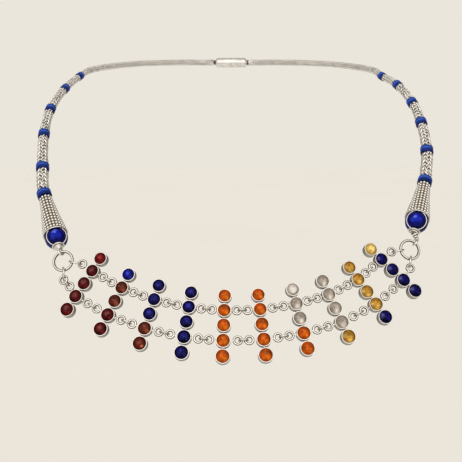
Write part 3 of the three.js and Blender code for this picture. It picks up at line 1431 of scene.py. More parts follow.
def map_across(piece: bpy.types.Object, middle: Vector, normal: Vector, radius: float) -> None:
    """Lays a flat UV map named stone over a piece, from 0 to 1 across it, with its top towards the sky.

    Args:
        piece: The piece.
        middle: Where the map's middle lies.
        normal: The direction that the map is laid along.
        radius: Half the map's width.
    """
    upward = (Vector((0, 0, 1)) - normal * normal.z).normalized()
    for old in list(piece.data.uv_layers):
        piece.data.uv_layers.remove(old)
    layer = piece.data.uv_layers.new(name="stone")
    right = upward.cross(normal)
    for loop in piece.data.loops:
        offset = piece.data.vertices[loop.vertex_index].co - middle
        layer.data[loop.index].uv = (
            0.5 + offset.dot(right) / radius / 2,
            0.5 + offset.dot(upward) / radius / 2,
        )


@dataclass
class BarPatterns:
    """The pieces that repeat along the bars, each modelled once."""

    setting: Setting = field(default_factory=Setting)
    fittings: Fittings = field(default_factory=Fittings)

    def __post_init__(self) -> None:
        """Models the patterns and mixes the stones' finishes."""
        self.bezels = [self.setting.bezel(i) for i in range(self.setting.count)]
        self.stones = [self.setting.stone(i) for i in range(self.setting.count)]
        self.eyelet = self.fittings.eyelet()
        self.neck = self.fittings.solder_neck("neck", self.fittings.neck_waist)
        mark(self.neck, lambda co: self.fittings.neck_dull, "flank")
        self.stalk = self.fittings.solder_neck("stalk", self.fittings.stalk_waist)
        self.gem_finishes = {gem: gem.finish.material() for gem in Gem}

    def clear(self) -> None:
        """Removes the patterns once everything is copied."""
        put_away([*self.bezels, *self.stones, self.eyelet, self.neck, self.stalk])


def bar(name: str, across: float, up: float, turn: float, *gems: Gem) -> Bar:
    """Lays out one bar from its place in millimetres and its turn in degrees.

    Args:
        name: The bar's name, which is its CAD node's.
        across: Its middle stone, to the viewer's right of the middle.
        up: Its middle stone's height.
        turn: Its turn from upright.
        gems: Its stones, from the top.

    Returns:
        The bar.
    """
    return Bar(name, across * MM, up * MM, math.radians(turn), gems)


@dataclass
class Front:
    """The ten bars and the two strands of links between them."""

    bars: list[Bar]
    fittings: Fittings = field(default_factory=Fittings)
    strand_bezels: dict[Strand, int] = field(default_factory=lambda: {Strand.UPPER: 1, Strand.LOWER: 3})
    stalks: dict[Strand, float] = field(
        default_factory=lambda: {Strand.UPPER: 0.2 * MM, Strand.LOWER: 0.6 * MM}
    )

    def lay_out(self, ends: "Sequence[End]") -> None:
        """Places every bar's eyelets, each pointing at its neighbour, and none past half the way to it.

        Args:
            ends: The left and the right end, which say how the outer eyelets stand.
        """
        left, right = ends
        for strand, number in self.strand_bezels.items():
            stalk = self.stalks[strand]
            for i, here in enumerate(self.bars):
                for side, other, end in ((Side.LEFT, i - 1, left), (Side.RIGHT, i + 1, right)):
                    if 0 <= other < len(self.bars):
                        way = here.way_to(self.bars[other], number)
                        turn = math.atan2(way.y, way.x)
                        most = way.length / 2 - self.fittings.ring - GAP / 2
                        here.eyelets[strand, side] = here.eyelet_at(number, turn, stalk, most)
                    else:
                        turn, outer_stalk = end.outer[strand]
                        turn = math.pi - turn if side is Side.LEFT else turn
                        here.eyelets[strand, side] = here.eyelet_at(number, turn, outer_stalk)

    def build(self, silver: bpy.types.Material) -> None:
        """Builds the bars and the links between them.

        Args:
            silver: The finish of the silver.
        """
        patterns = BarPatterns()
        for here in self.bars:
            here.build(patterns, self.strand_bezels, silver)
        patterns.clear()
        for i, (here, after) in enumerate(zip(self.bars, self.bars[1:])):
            out = (here.normal + after.normal).normalized()
            for strand in self.strand_bezels:
                start = here.place @ here.eyelets[strand, Side.RIGHT]
                end = after.place @ after.eyelets[strand, Side.LEFT]
                near = wire_point(start, here.normal, self.fittings.line, end)
                far = wire_point(end, after.normal, self.fittings.line, start)
                node = f"link_{strand}_{i + 1:02d}"
                link = self.fittings.link(node + "_wire", near, far, out, self.fittings.wire)
                fit(link, silver, "silver", node)
        log.info("front: %d bars and %d links", len(self.bars), 2 * (len(self.bars) - 1))


# The ends: ring, cap, ball, cone, cord and sleeves.


def leaning(splay: float, lean: float) -> Vector:
    """Returns the upward direction turned outwards and back.

    Args:
        splay: The turn to the viewer's right, in degrees.
        lean: The turn back, in degrees.

    Returns:
        The direction.
    """
    aside, behind = math.radians(splay), math.radians(lean)
    return Vector(
        (math.sin(aside) * math.cos(behind), math.sin(behind), math.cos(aside) * math.cos(behind))
    )


def measured(across: float, back: float, up: float) -> Vector:
    """Returns a place measured in millimetres from the middle of the front."""
    return FRONT_MIDDLE + Vector((across, back, up)) * MM


class Path:
    """A smooth line through points, walked by its length."""

    def __init__(self, points: Sequence[Vector], divisions: int = 800) -> None:
        """Lays a centripetal spline through the points and measures it.

        Args:
            points: The points.
            divisions: How finely it is measured.
        """
        first = points[0] * 2 - points[1]
        last = points[-1] * 2 - points[-2]
        self.knots = [first, *points, last]
        self.spans = len(points) - 1
        self.samples = [self._at(i / divisions) for i in range(divisions + 1)]
        self.lengths = [0.0]
        for near, far in zip(self.samples, self.samples[1:]):
            self.lengths.append(self.lengths[-1] + (far - near).length)
        self.long = self.lengths[-1]

    def _at(self, share: float) -> Vector:
        """Finds the point at a share of the spline's own measure.

        Args:
            share: The share, from 0 to 1.

        Returns:
            The point.
        """
        place = share * self.spans
        span = min(int(place), self.spans - 1)
        weight = place - span
        before, start, end, after = self.knots[span : span + 4]
        pairs = ((before, start), (start, end), (end, after))
        first, second, third = (max((far - near).length ** 0.5, MERGE) for near, far in pairs)
        lead = (
            (start - before) / first - (end - before) / (first + second) + (end - start) / second
        ) * second
        trail = (
            (end - start) / second - (after - start) / (second + third) + (after - end) / third
        ) * second
        square = start * -3 + end * 3 - lead * 2 - trail
        cube = start * 2 - end * 2 + lead + trail
        return start + lead * weight + square * weight**2 + cube * weight**3

    def point(self, distance: float) -> Vector:
        """Finds the point at a distance along the line.

        Args:
            distance: The distance from the line's start.

        Returns:
            The point.
        """
        low, high = 0, len(self.lengths) - 1
        while high - low > 1:
            middle = (low + high) // 2
            low, high = (middle, high) if self.lengths[middle] <= distance else (low, middle)
        step = self.lengths[high] - self.lengths[low]
        return self.samples[low].lerp(self.samples[high], (distance - self.lengths[low]) / step)

    def heading(self, distance: float, reach: float = 0.2 * MM) -> Vector:
        """Works out the direction of the line at a distance along it.

        Args:
            distance: The distance from the line's start.
            reach: How far before and after it the line is looked at.

        Returns:
            The direction.
        """
        near = max(distance - reach, 0.0)
        far = min(distance + reach, self.long)
        return (self.point(far) - self.point(near)).normalized()

    def frame(self, distance: float) -> Matrix:
        """Returns a frame on the line, with Z along it and X towards the front."""
        return frame_at(self.point(distance), Vector((0, -0.8, 0.6)), self.heading(distance))


@dataclass
class Ball:
    """The ball, cut flat in front for its wire and its inlaid stone."""

    radius: float = 4 * MM
    cut: float = 2.05 * MM
    rim: float = 3.38 * MM
    rim_wire: float = 0.32 * MM
    rim_out: float = 0.35
    stone_radius: float = 3.12 * MM
    stone_foot: float = 2.15 * MM
    stone_top: float = 4.0 * MM
    facets: int = 14
    facet_rows: int = 12

    def body(self) -> bpy.types.Object:
        """Cuts the ball flat.

        Returns:
            The ball, with its cut facing Z.
        """
        lay_down_all()
        bpy.ops.mesh.primitive_uv_sphere_add(segments=48, ring_count=32, radius=self.radius)
        ball = settled(bpy.context.active_object)
        slice_level(ball, self.cut, above=True)
        return smoothed(ball, 50)

    def wire(self) -> bpy.types.Object:
        """Bends the wire round the inlaid stone.

        Returns:
            The wire, with its axis along Z.
        """
        ring = wire_ring("rim", self.rim, self.rim_wire, 12, 64)
        ring.data.transform(Matrix.Translation((0, 0, self.cut + self.rim_wire * self.rim_out)))
        return ring

    def stone(self) -> bpy.types.Object:
        """Cuts the inlaid stone as a shallow faceted dome.

        Returns:
            The stone, with its table facing Z.
        """
        height = self.stone_top - self.stone_foot
        round_radius = (height**2 + self.stone_radius**2) / (2 * height)
        lay_down_all()
        bpy.ops.mesh.primitive_uv_sphere_add(
            segments=self.facets,
            ring_count=self.facet_rows,
            radius=round_radius,
            location=(0, 0, self.stone_top - round_radius),
        )
        dome = settled(bpy.context.active_object)
        slice_level(dome, self.stone_foot, above=False)
        return smoothed(dome, 5)


@dataclass
class Cap:
    """The stepped cap under the ball, with its wound neck and its eye."""

    disc_bottom: float = -4.24 * MM
    neck: float = 0.52 * MM
    neck_edge: float = 0.08 * MM
    neck_rise: float = 0.1
    coils: tuple[tuple[float, float], ...] = ((0.96, 0.62), (0.8, 0.56), (0.64, 0.5))
    coil_lean: float = math.radians(9)
    coil_lead: float = 0.7
    coil_slack: float = 0.6
    eye: float = 1.05 * MM
    eye_wire: float = 0.68 * MM
    crests: tuple[float, ...] = (2.0 * MM, 1.36 * MM, 0.6 * MM)
    crest_wide: float = 0.36 * MM

    def disc(self) -> bpy.types.Object:
        """Turns the disc with its rounded rim and its two steps.

        Returns:
            The disc, measured from the ball's middle, with Z up through the ball.
        """
        outline = [
            # the hollow under the ball, and the rounded rim
            (0.0, -4.2), (1.76, -3.72), (1.9, -3.64), (2.12, -3.68), (2.22, -3.82),
            (2.22, -3.96), (2.12, -4.1), (1.94, -4.14), (1.76, -4.06), (1.66, -3.9),
            # the first step
            (1.6, -3.95), (1.62, -4.2), (1.58, -4.42), (1.44, -4.56),
            (1.24, -4.58), (1.1, -4.48), (1.04, -4.32),
            # the second step, down to the neck
            (0.98, -4.36), (0.94, -4.6), (0.8, -4.74), (0.0, -4.74),
        ]
        disc = turned("disc", [(radius * MM, height * MM) for radius, height in outline], 48, 70)

        def crest(co: Vector) -> float:
            """Returns how near a point is to the top of its step."""
            radius = math.hypot(co.x, co.y)
            return 1 - min(abs(radius - top) for top in self.crests) / self.crest_wide

        # The crests of the steps are light and the grooves between them dark: oxide and painted shade.
        mark(disc, crest)
        return disc

    def winding(self, top: Vector, bottom: Vector) -> list[bpy.types.Object]:
        """Winds the neck with wire.

        Args:
            top: The neck's upper end.
            bottom: The neck's lower end.

        Returns:
            The neck and its coils.
        """
        along = bottom - top
        aside = Vector((1, 0, 0))
        lay_down_all()
        bpy.ops.mesh.primitive_cylinder_add(vertices=20, radius=self.neck, depth=along.length)
        stem = settled(bpy.context.active_object)
        with at_work_on(stem):
            choose(stem, Pick.FACES, lambda face: abs(face.normal.z) > LEVEL)
            bpy.ops.mesh.bevel(offset=self.neck_edge, segments=2)
        smoothed(stem, 40)
        # The neck is dark under its coils, and each coil is lighter outwards: oxide and painted shade.
        mark(stem, lambda co: self.neck_rise)
        stem.data.transform(frame_at((top + bottom) / 2, aside, along))
        pieces = [stem]
        for i, (line, wire) in enumerate(self.coils):
            share = (i + self.coil_lead) / (len(self.coils) + self.coil_slack)
            coil = wire_ring("coil", line * MM, wire * MM, 10, 28)
            mark(coil, lambda co: 0.5 + (math.hypot(co.x, co.y) / MM - line) / wire)
            place = frame_at(top + along * share, aside, along)
            coil.data.transform(place @ Matrix.Rotation(self.coil_lean, 4, "X"))
            pieces.append(coil)
        return pieces


@dataclass
class Cone:
    """The flared cone: a dark body, rows of granules and a polished mouth."""

    mouth: float = 4.4 * MM
    top: float = 2.3 * MM
    flare: float = 1.25
    mouth_at: float = 1.5 * MM
    top_at: float = 18.2 * MM
    hollow: float = 4.15 * MM
    granule: float = 0.55 * MM
    flattened: float = 0.98
    pitch: float = 1.13 * MM
    row_pitch: float = 1.38 * MM
    first_row: float = 2.85 * MM
    past_top: float = 0.2 * MM
    sunk: float = 0.42 * MM
    under: float = 1.15
    rows: int = 12
    cup_steps: int = 6
    lip_wire: float = 0.46 * MM
    lip_in: float = 0.42
    lip_out: float = 0.35

    def outer(self, height: float) -> float:
        """Returns the cone's outer radius at a height along it."""
        share = (self.top_at - height) / (self.top_at - self.mouth_at)
        return self.top + (self.mouth - self.top) * max(share, 0.0) ** self.flare

    def body(self) -> bpy.types.Object:
        """Turns the body, hollowed at its mouth for the ball.

        Returns:
            The body, measured from the ball's middle along Z.
        """
        mouth_turn = math.acos(self.mouth_at / self.hollow)
        turns = [mouth_turn * i / self.cup_steps for i in range(self.cup_steps + 1)]
        cup = [(self.hollow * math.sin(turn), self.hollow * math.cos(turn)) for turn in turns]
        wall = []
        for i in range(self.rows + 1):
            height = self.mouth_at + (self.top_at - self.mouth_at) * i / self.rows
            wall.append((self.outer(height) - self.sunk * self.under, height))
        body = turned("body", [*cup, *wall, (0.0, self.top_at)], 40)
        # The body between the granules is darkest: oxide and painted shade in the recesses.
        mark(body, lambda co: 0.0)
        return body

    def granules(self) -> list[bpy.types.Object]:
        """Lays the granules in rows, with their columns straight down the front.

        Returns:
            The granules, each of its own mesh.
        """
        lay_down_all()
        bpy.ops.mesh.primitive_ico_sphere_add(subdivisions=2, radius=self.granule)
        pattern = bpy.context.active_object
        pattern.name = "granule"
        resize(pattern, self.flattened, self.flattened, 1.0)
        smoothed(pattern, 180)
        # Each granule is lighter outwards and darker towards the body: oxide and painted shade.
        mark(pattern, lambda co: 0.5 + 0.5 * co.x / self.granule)
        grains = []
        height = self.first_row
        while height < self.top_at + self.past_top:
            line = self.outer(height) - self.sunk
            around = round(FULL_TURN * line / self.pitch)
            stretch = FULL_TURN * line / (around * self.pitch)
            for j in range(around):
                step = j - (around - 1) // 2
                share = 2 * abs(step) / around
                turn = step * self.pitch / line * (1 + (stretch - 1) * share**2)
                place = Matrix.Rotation(turn, 4, "Z") @ Matrix.Translation((line, 0, height))
                grains.append(copied(pattern, place))
            height += self.row_pitch
        put_away([pattern])
        return grains

    def lip(self) -> bpy.types.Object:
        """Bends the polished wire round the mouth.

        Returns:
            The wire, measured from the ball's middle along Z.
        """
        ring = wire_ring("lip", self.mouth - self.lip_wire * self.lip_in, self.lip_wire, 12, 56)
        ring.data.transform(Matrix.Translation((0, 0, self.mouth_at + self.lip_wire * self.lip_out)))
        mark(ring, lambda co: 1.0)
        return ring


@dataclass
class Weave:
    """The plaited cord: a dark core under columns of leaf-shaped strands that lean left and right in turn."""

    start: float = 2.25 * MM
    end: float = 1.25 * MM
    taper: float = 70 * MM
    core: float = 0.8
    columns: int = 12
    pitch: float = 1.75 * MM
    leaf_long: float = 1.42 * MM
    leaf_wide: float = 0.42 * MM
    leaf_high: float = 0.5 * MM
    leaf_narrows: float = 0.25
    leaf_droops: float = 0.5
    lean: float = 36.0
    lean_play: float = 18.0
    size_play: float = 0.24
    first: float = 2.6 * MM
    seat: float = 0.8
    core_sides: int = 20
    core_step: float = 1.5 * MM

    def radius(self, distance: float) -> float:
        """Returns the cord's radius at a distance from its cone."""
        return self.start + (self.end - self.start) * min(distance / self.taper, 1.0)

    def leaf(self) -> bpy.types.Object:
        """Shapes one strand as it shows: round in section, drawn to a point at both ends.

        Returns:
            The leaf at the cord's full size, long in Z, with X out of the cord.
        """
        lay_down_all()
        bpy.ops.mesh.primitive_uv_sphere_add(segments=8, ring_count=6, radius=1.0)
        leaf = bpy.context.active_object
        leaf.name = "leaf"
        resize(leaf, self.leaf_high, self.leaf_wide, self.leaf_long)
        for vertex in leaf.data.vertices:
            share = abs(vertex.co.z) / self.leaf_long
            vertex.co.y *= 1 - self.leaf_narrows * share
            vertex.co.x -= self.leaf_high * self.leaf_droops * share**2
        smoothed(leaf, 180)
        # Each leaf is lighter on top and darker where it sinks into the cord: oxide and painted shade.
        mark(leaf, lambda co: 0.5 + 0.5 * co.x / self.leaf_high)
        return leaf

    def plait(self, path: Path, until: float) -> list[bpy.types.Object]:
        """Lays the leaves along the cord.

        Args:
            path: The cord's line.
            until: Where the plait ends.

        Returns:
            The leaves.
        """
        pattern = self.leaf()
        play = random.Random(self.columns)
        leaves = []
        distance = self.first
        while distance < until:
            size = self.radius(distance) / self.start
            for column in range(self.columns):
                side = 1 if column % 2 else -1
                turn = FULL_TURN * (column + 0.5) / self.columns
                half_step = 0.0 if column % 4 < 2 else 0.5
                here = min(distance + half_step * self.pitch * size, until)
                lean = math.radians(self.lean + play.uniform(-1, 1) * self.lean_play) * side
                growth = 1 + play.uniform(-1, 1) * self.size_play
                place = (
                    path.frame(here)
                    @ Matrix.Rotation(turn, 4, "Z")
                    @ Matrix.Translation((self.radius(here) * self.seat, 0, 0))
                    @ Matrix.Rotation(lean, 4, "X")
                    @ Matrix.Scale(size * growth, 4)
                )
                leaves.append(copied(pattern, place))
            distance += self.pitch * size
        put_away([pattern])
        return leaves

    def core_rod(self, path: Path) -> bpy.types.Object:
        """Draws the dark core along the line.

        Args:
            path: The cord's line.

        Returns:
            The core.
        """
        steps = max(2, round(path.long / self.core_step))
        lay_down_all()
        curve = bpy.data.curves.new("core", "CURVE")
        curve.dimensions = "3D"
        curve.bevel_mode = "ROUND"
        curve.bevel_depth = 1.0
        curve.bevel_resolution = self.core_sides // 4 - 1
        curve.use_fill_caps = True
        line = curve.splines.new("POLY")
        line.points.add(steps)
        for i, point in enumerate(line.points):
            distance = path.long * i / steps
            point.co = (*path.point(distance), 1.0)
            point.radius = self.radius(distance) * self.core
        core = bpy.data.objects.new("core", curve)
        bpy.context.scene.collection.objects.link(core)
        pick_up(core)
        bpy.ops.object.convert(target="MESH")
        core = bpy.context.active_object
        smoothed(core, 60)
        # The core between the leaves is darkest: oxide and painted shade in the recesses.
        mark(core, lambda co: 0.0)
        return core


@dataclass
class Sleeve:
    """A blue sleeve on the cord, with a shallow groove round its middle."""

    long: float = 2.9 * MM
    proud: float = 1.17
    waist: float = 0.8
    round_edge: float = 0.32 * MM
    groove: float = 0.14 * MM
    groove_wide: float = 0.22 * MM
    # Painted highlight and shade on the enamel: how light it is up to each place, from -1 at the lower edge
    # to 1 at the upper one.
    shades: tuple[tuple[float, float], ...] = (
        (-0.9, 0.0), (-0.3, 0.16), (-0.1, 0.28), (0.0, 0.2), (0.1, 0.3), (0.3, 0.8), (0.5, 0.34), (0.9, 0.3)
    )
    upper_edge: float = 0.2

    def build(self, name: str, radius: float) -> bpy.types.Object:
        """Turns one sleeve.

        Args:
            name: Its name.
            radius: The cord's radius there.

        Returns:
            The sleeve, along Z about the origin.
        """
        outer = radius * self.proud
        inner = radius * self.waist + GAP
        half = self.long / 2
        edge = self.round_edge
        upper = [
            (outer - self.groove, self.groove_wide * 0.35), (outer, self.groove_wide),
            (outer, half * 0.4), (outer, half - edge),
            (outer - edge * 0.3, half - edge * 0.3), (outer - edge, half), (inner, half),
        ]
        lower = [(out, -height) for out, height in reversed(upper)]
        sleeve = turned(name, [*lower, *upper, lower[0]], 40, 50)

        def shine(co: Vector) -> float:
            """Returns the painted highlight and shade at a point."""
            return next((light for place, light in self.shades if co.z / half <= place), self.upper_edge)

        mark(sleeve, shine)
        return sleeve


@dataclass
class End:
    """One end of the front: the large ring, the cap, the ball, the cone, the cord and its sleeves."""

    side: Side
    ring: Vector
    hang: float
    ball: Vector
    cap_axis: Vector
    cone_axis: Vector
    outer: dict[Strand, tuple[float, float]]
    sleeves: tuple[float, ...]
    route: list[Vector]
    spare: Vector | None = None
    spare_across: float = 0.0
    ring_radius: float = 3.35 * MM
    ring_wire: float = 0.9 * MM
    link_wire: float = 0.64 * MM
    spare_wire: float = 0.5 * MM
    facing: float = 26.0
    splay: float = 0.0
    eye_turn: float = 0.0
    links_meet: float = 355 * MM
    links_rise: float = 0.12
    lot: float = 9.0
    cord_lead: float = 4 * MM
    clasp_lead: float = 3 * MM
    bare: float = 0.9 * MM

    @property
    def ring_normal(self) -> Vector:
        """The large ring's axis."""
        return panel_normal(self.ring.x)

    @property
    def outward(self) -> Vector:
        """The direction that the inlaid stone faces."""
        return leaning(self.splay, self.facing - 90)

    @property
    def edge_on(self) -> Vector:
        """The direction out of the front that the end links lie along, towards one place ahead of it."""
        return Vector((-self.ring.x / self.links_meet, -1.0, self.links_rise)).normalized()

    def build(self, last: Bar, finishes: "Finishes") -> None:
        """Builds the end.

        Args:
            last: The nearest bar.
            finishes: The finishes.
        """
        self.build_ring(finishes)
        self.build_cap(finishes)
        self.build_ball(finishes)
        self.build_cone(finishes)
        self.build_cord(finishes)
        self.build_links(last, finishes)
        log.info("%s end: ring, cap, ball, cone, cord, %d sleeves and links", self.side, len(self.sleeves))

    def build_ring(self, finishes: "Finishes") -> None:
        """Bends the large ring.

        Args:
            finishes: The finishes.
        """
        ring = wire_ring(f"ring_{self.side}_wire", self.ring_radius, self.ring_wire, 14, 64, dull_flanks)
        ring.data.transform(frame_at(self.ring, Vector((1, 0, 0)), self.ring_normal))
        fit(ring, finishes.silver, "silver", f"ring_{self.side}")

    def build_cap(self, finishes: "Finishes") -> None:
        """Builds the cap with its neck and its eye.

        Args:
            finishes: The finishes.
        """
        cap = Cap()
        hang = math.radians(self.hang)
        hung_from = self.ring + Vector((-math.sin(hang), 0, math.cos(hang)))
        held = wire_point(self.ring, self.ring_normal, self.ring_radius, hung_from)
        pull = (held - self.ring).normalized()
        slack = cap.eye - cap.eye_wire / 2 - self.ring_wire / 2 - GAP
        eye_middle = held + pull * slack
        neck_bottom = eye_middle + pull * cap.eye
        neck_top = self.ball + self.cap_axis * (cap.disc_bottom + GAP / 2)
        disc = cap.disc()
        disc.data.transform(frame_at(self.ball, Vector((0, -1, 0)), self.cap_axis))
        eye = wire_ring("eye", cap.eye, cap.eye_wire, 12, 36)
        mark(eye, lambda co: 1.0)
        across = pull.cross(self.ring_normal)
        eye_turn = math.radians(self.eye_turn)
        axis = across * math.cos(eye_turn) + across.cross(pull).normalized() * math.sin(eye_turn)
        eye.data.transform(frame_at(eye_middle, pull, axis))
        whole = joined(f"cap_{self.side}_turned", [disc, eye, *cap.winding(neck_top, neck_bottom)])
        fit(whole, finishes.wound, "silver", f"cap_{self.side}")

    def build_ball(self, finishes: "Finishes") -> None:
        """Builds the ball, its wire and its inlaid stone.

        Args:
            finishes: The finishes.
        """
        ball = Ball()
        place = frame_at(self.ball, self.cone_axis, self.outward)
        body, wire, stone = ball.body(), ball.wire(), ball.stone()
        for piece in (body, wire, stone):
            piece.data.transform(place)
        body.name = f"ball_{self.side}_body"
        fit(body, finishes.ball, "stone_blue", f"ball_{self.side}")
        wire.name = f"ball_{self.side}_wire"
        fit(wire, finishes.silver, "silver")
        stone.name = f"ball_stone_{self.side}_cut"
        map_across(stone, self.ball, self.outward, ball.stone_radius)
        mark(stone, lambda co: self.lot, "lot")
        fit(stone, finishes.inlay, "stone_blue", f"ball_stone_{self.side}")

    def build_cone(self, finishes: "Finishes") -> None:
        """Builds the cone with its granules and its mouth.

        Args:
            finishes: The finishes.
        """
        cone = Cone()
        whole = joined(f"cone_{self.side}_granulated", [cone.body(), cone.lip(), *cone.granules()])
        whole.data.transform(frame_at(self.ball, self.outward, self.cone_axis))
        fit(whole, finishes.granulated, "silver_woven", f"cone_{self.side}")

    def build_cord(self, finishes: "Finishes") -> None:
        """Builds the cord and its sleeves.

        Args:
            finishes: The finishes.
        """
        weave = Weave()
        start = self.ball + self.cone_axis * (Cone().top_at + GAP)
        face = CLASP_HALF + GAP
        path = Path(
            [
                start,
                start + self.cone_axis * self.cord_lead,
                *self.route,
                *(measured(self.side.outwards * across, back, up) for across, back, up in NAPE_ROUTE),
                CLASP_MIDDLE + Vector((self.side.outwards * (face + self.clasp_lead), 0, 0)),
                CLASP_MIDDLE + Vector((self.side.outwards * face, 0, 0)),
            ]
        )
        pieces = [weave.core_rod(path), *weave.plait(path, path.long - self.bare)]
        cord = joined(f"cord_{self.side}_plait", pieces)
        fit(cord, finishes.woven, "silver_woven", f"cord_{self.side}")
        for i, distance in enumerate(self.sleeves):
            node = f"sleeve_{self.side}_{i + 1}"
            sleeve = Sleeve().build(node + "_band", weave.radius(distance * MM))
            sleeve.data.transform(path.frame(distance * MM))
            fit(sleeve, finishes.enamel, "enamel_blue", node)

    def build_links(self, last: Bar, finishes: "Finishes") -> None:
        """Builds the links from the large ring to the nearest bar.

        Args:
            last: The nearest bar.
            finishes: The finishes.
        """
        fittings = Fittings()
        for strand in Strand:
            node = f"end_link_{self.side}_{strand}"
            eyelet = last.place @ last.eyelets[strand, self.side]
            if strand is Strand.LOWER and self.spare:
                spare_normal = panel_normal(self.spare_across)
                ring = fittings.eyelet()
                ring.name = f"spare_ring_{self.side}_wire"
                ring.data.transform(frame_at(self.spare, Vector((1, 0, 0)), spare_normal))
                fit(ring, finishes.silver, "silver", f"spare_ring_{self.side}")
                near = wire_point(eyelet, last.normal, fittings.line, self.spare)
                far = wire_point(self.spare, spare_normal, fittings.line, eyelet)
                name = node + "_2_wire"
                second = fittings.link(name, near, far, last.normal, fittings.wire, self.spare_wire)
                fit(second, finishes.silver, "silver", node + "_2")
                near = wire_point(self.spare, spare_normal, fittings.line, self.ring)
                far = wire_point(self.ring, self.ring_normal, self.ring_radius, self.spare)
            else:
                near = wire_point(eyelet, last.normal, fittings.line, self.ring)
                far = wire_point(self.ring, self.ring_normal, self.ring_radius, eyelet)
            link = fittings.link(node + "_wire", near, far, self.edge_on, self.ring_wire, self.link_wire)
            fit(link, finishes.silver, "silver", node)


@dataclass
class Clasp:
    """The plain barrel clasp at the nape."""

    radius: float = 2 * MM
    tip: float = 1.45 * MM
    half: float = CLASP_HALF
    collar: float = 1.0 * MM
    dip: float = 0.14 * MM

    def build(self, finishes: "Finishes") -> None:
        """Turns the barrel with a collar at each end and a seam at its middle.

        Args:
            finishes: The finishes.
        """
        radius, half, collar = self.radius, self.half, self.collar
        inner = radius - self.dip
        right = [
            (inner, 0.0), (radius, self.dip), (radius, half - 2.4 * collar),
            (inner, half - 2.2 * collar), (inner, half - 1.8 * collar),
            (radius, half - 1.6 * collar), (radius, half - collar),
            (inner, half - 0.6 * collar), (self.tip, half), (0.0, half),
        ]
        left = [(out, -height) for out, height in reversed(right[1:])]
        barrel = turned("clasp_barrel", [*left, *right], 48, 35)
        barrel.data.transform(frame_at(CLASP_MIDDLE, Vector((0, -1, 0)), Vector((1, 0, 0))))
        fit(barrel, finishes.silver, "silver", "clasp")
        log.info("clasp: one barrel")


class Finishes:
    """Every finish of the necklace but the stones of the bars."""

    def __init__(self) -> None:
        """Mixes the finishes."""
        self.silver = SilverFinish().material()
        granulated = OxidisedFinish("granulated silver", srgb(128, 114, 90), 0.3, 0.74)
        wound = OxidisedFinish("wound silver", srgb(134, 121, 99), 0.05, 0.62)
        woven = OxidisedFinish("plaited silver", srgb(84, 79, 72), 0.24, 0.7)
        self.granulated, self.wound, self.woven = granulated.material(), wound.material(), woven.material()
        self.enamel = EnamelFinish().material()
        self.ball = BallFinish().material()
        # The inlaid stone's spots are painted light: a highlight at the upper left, reflections, and shade
        # low in the middle.
        self.inlay = StoneFinish(
            "inlaid blue stone",
            srgb(4, 4, 76),
            srgb(8, 14, 120),
            (
                Spot(0.0, 0.1, 0.3, 0.8, srgb(8, 20, 142)),
                Spot(-0.2, 0.28, 0.16, 0.27, srgb(100, 120, 230)),
                Spot(-0.45, -0.12, 0.1, 0.36, srgb(24, 46, 160)),
                Spot(0.35, 0.0, 0.1, 0.36, srgb(14, 38, 168)),
                Spot(0.0, -0.24, 0.08, 0.28, srgb(4, 4, 86)),
            ),
            sparkle=1.1,
            cells=1000.0,
            coat=0.12,
        ).material()


def front_bars() -> list[Bar]:
    """Lays out the ten bars, left to right.

    Returns:
        The bars.
    """
    garnet, red, brown = Gem.GARNET, Gem.RED_GARNET, Gem.BROWN_GARNET
    blue, night, royal = Gem.BLUE, Gem.NIGHT_BLUE, Gem.ROYAL_BLUE
    orange, clear, bright, yellow, pale = Gem.ORANGE, Gem.CLEAR, Gem.BRIGHT_CLEAR, Gem.YELLOW, Gem.PALE_YELLOW
    return [
        bar("bar_01", -49.7, -18.3, -33, red, garnet, garnet, garnet, garnet),
        bar("bar_02", -38.9, -23.6, -27, royal, brown, brown, garnet, garnet),
        bar("bar_03", -27.1, -27.3, -18, blue, blue, blue, brown, brown),
        bar("bar_04", -14.8, -29.6, -9, blue, blue, blue, blue, blue),
        bar("bar_05", -2.5, -30.6, -2, orange, orange, orange, orange, orange),
        bar("bar_06", 10.1, -30.3, 7, orange, orange, orange, orange, orange),
        bar("bar_07", 22.7, -28.6, 14, bright, clear, clear, orange, orange),
        bar("bar_08", 34.6, -25.7, 25, clear, clear, clear, clear, yellow),
        bar("bar_09", 45.6, -20.8, 36, yellow, yellow, yellow, yellow, night),
        bar("bar_10", 54.8, -14.0, 47, pale, night, night, night, night),
    ]


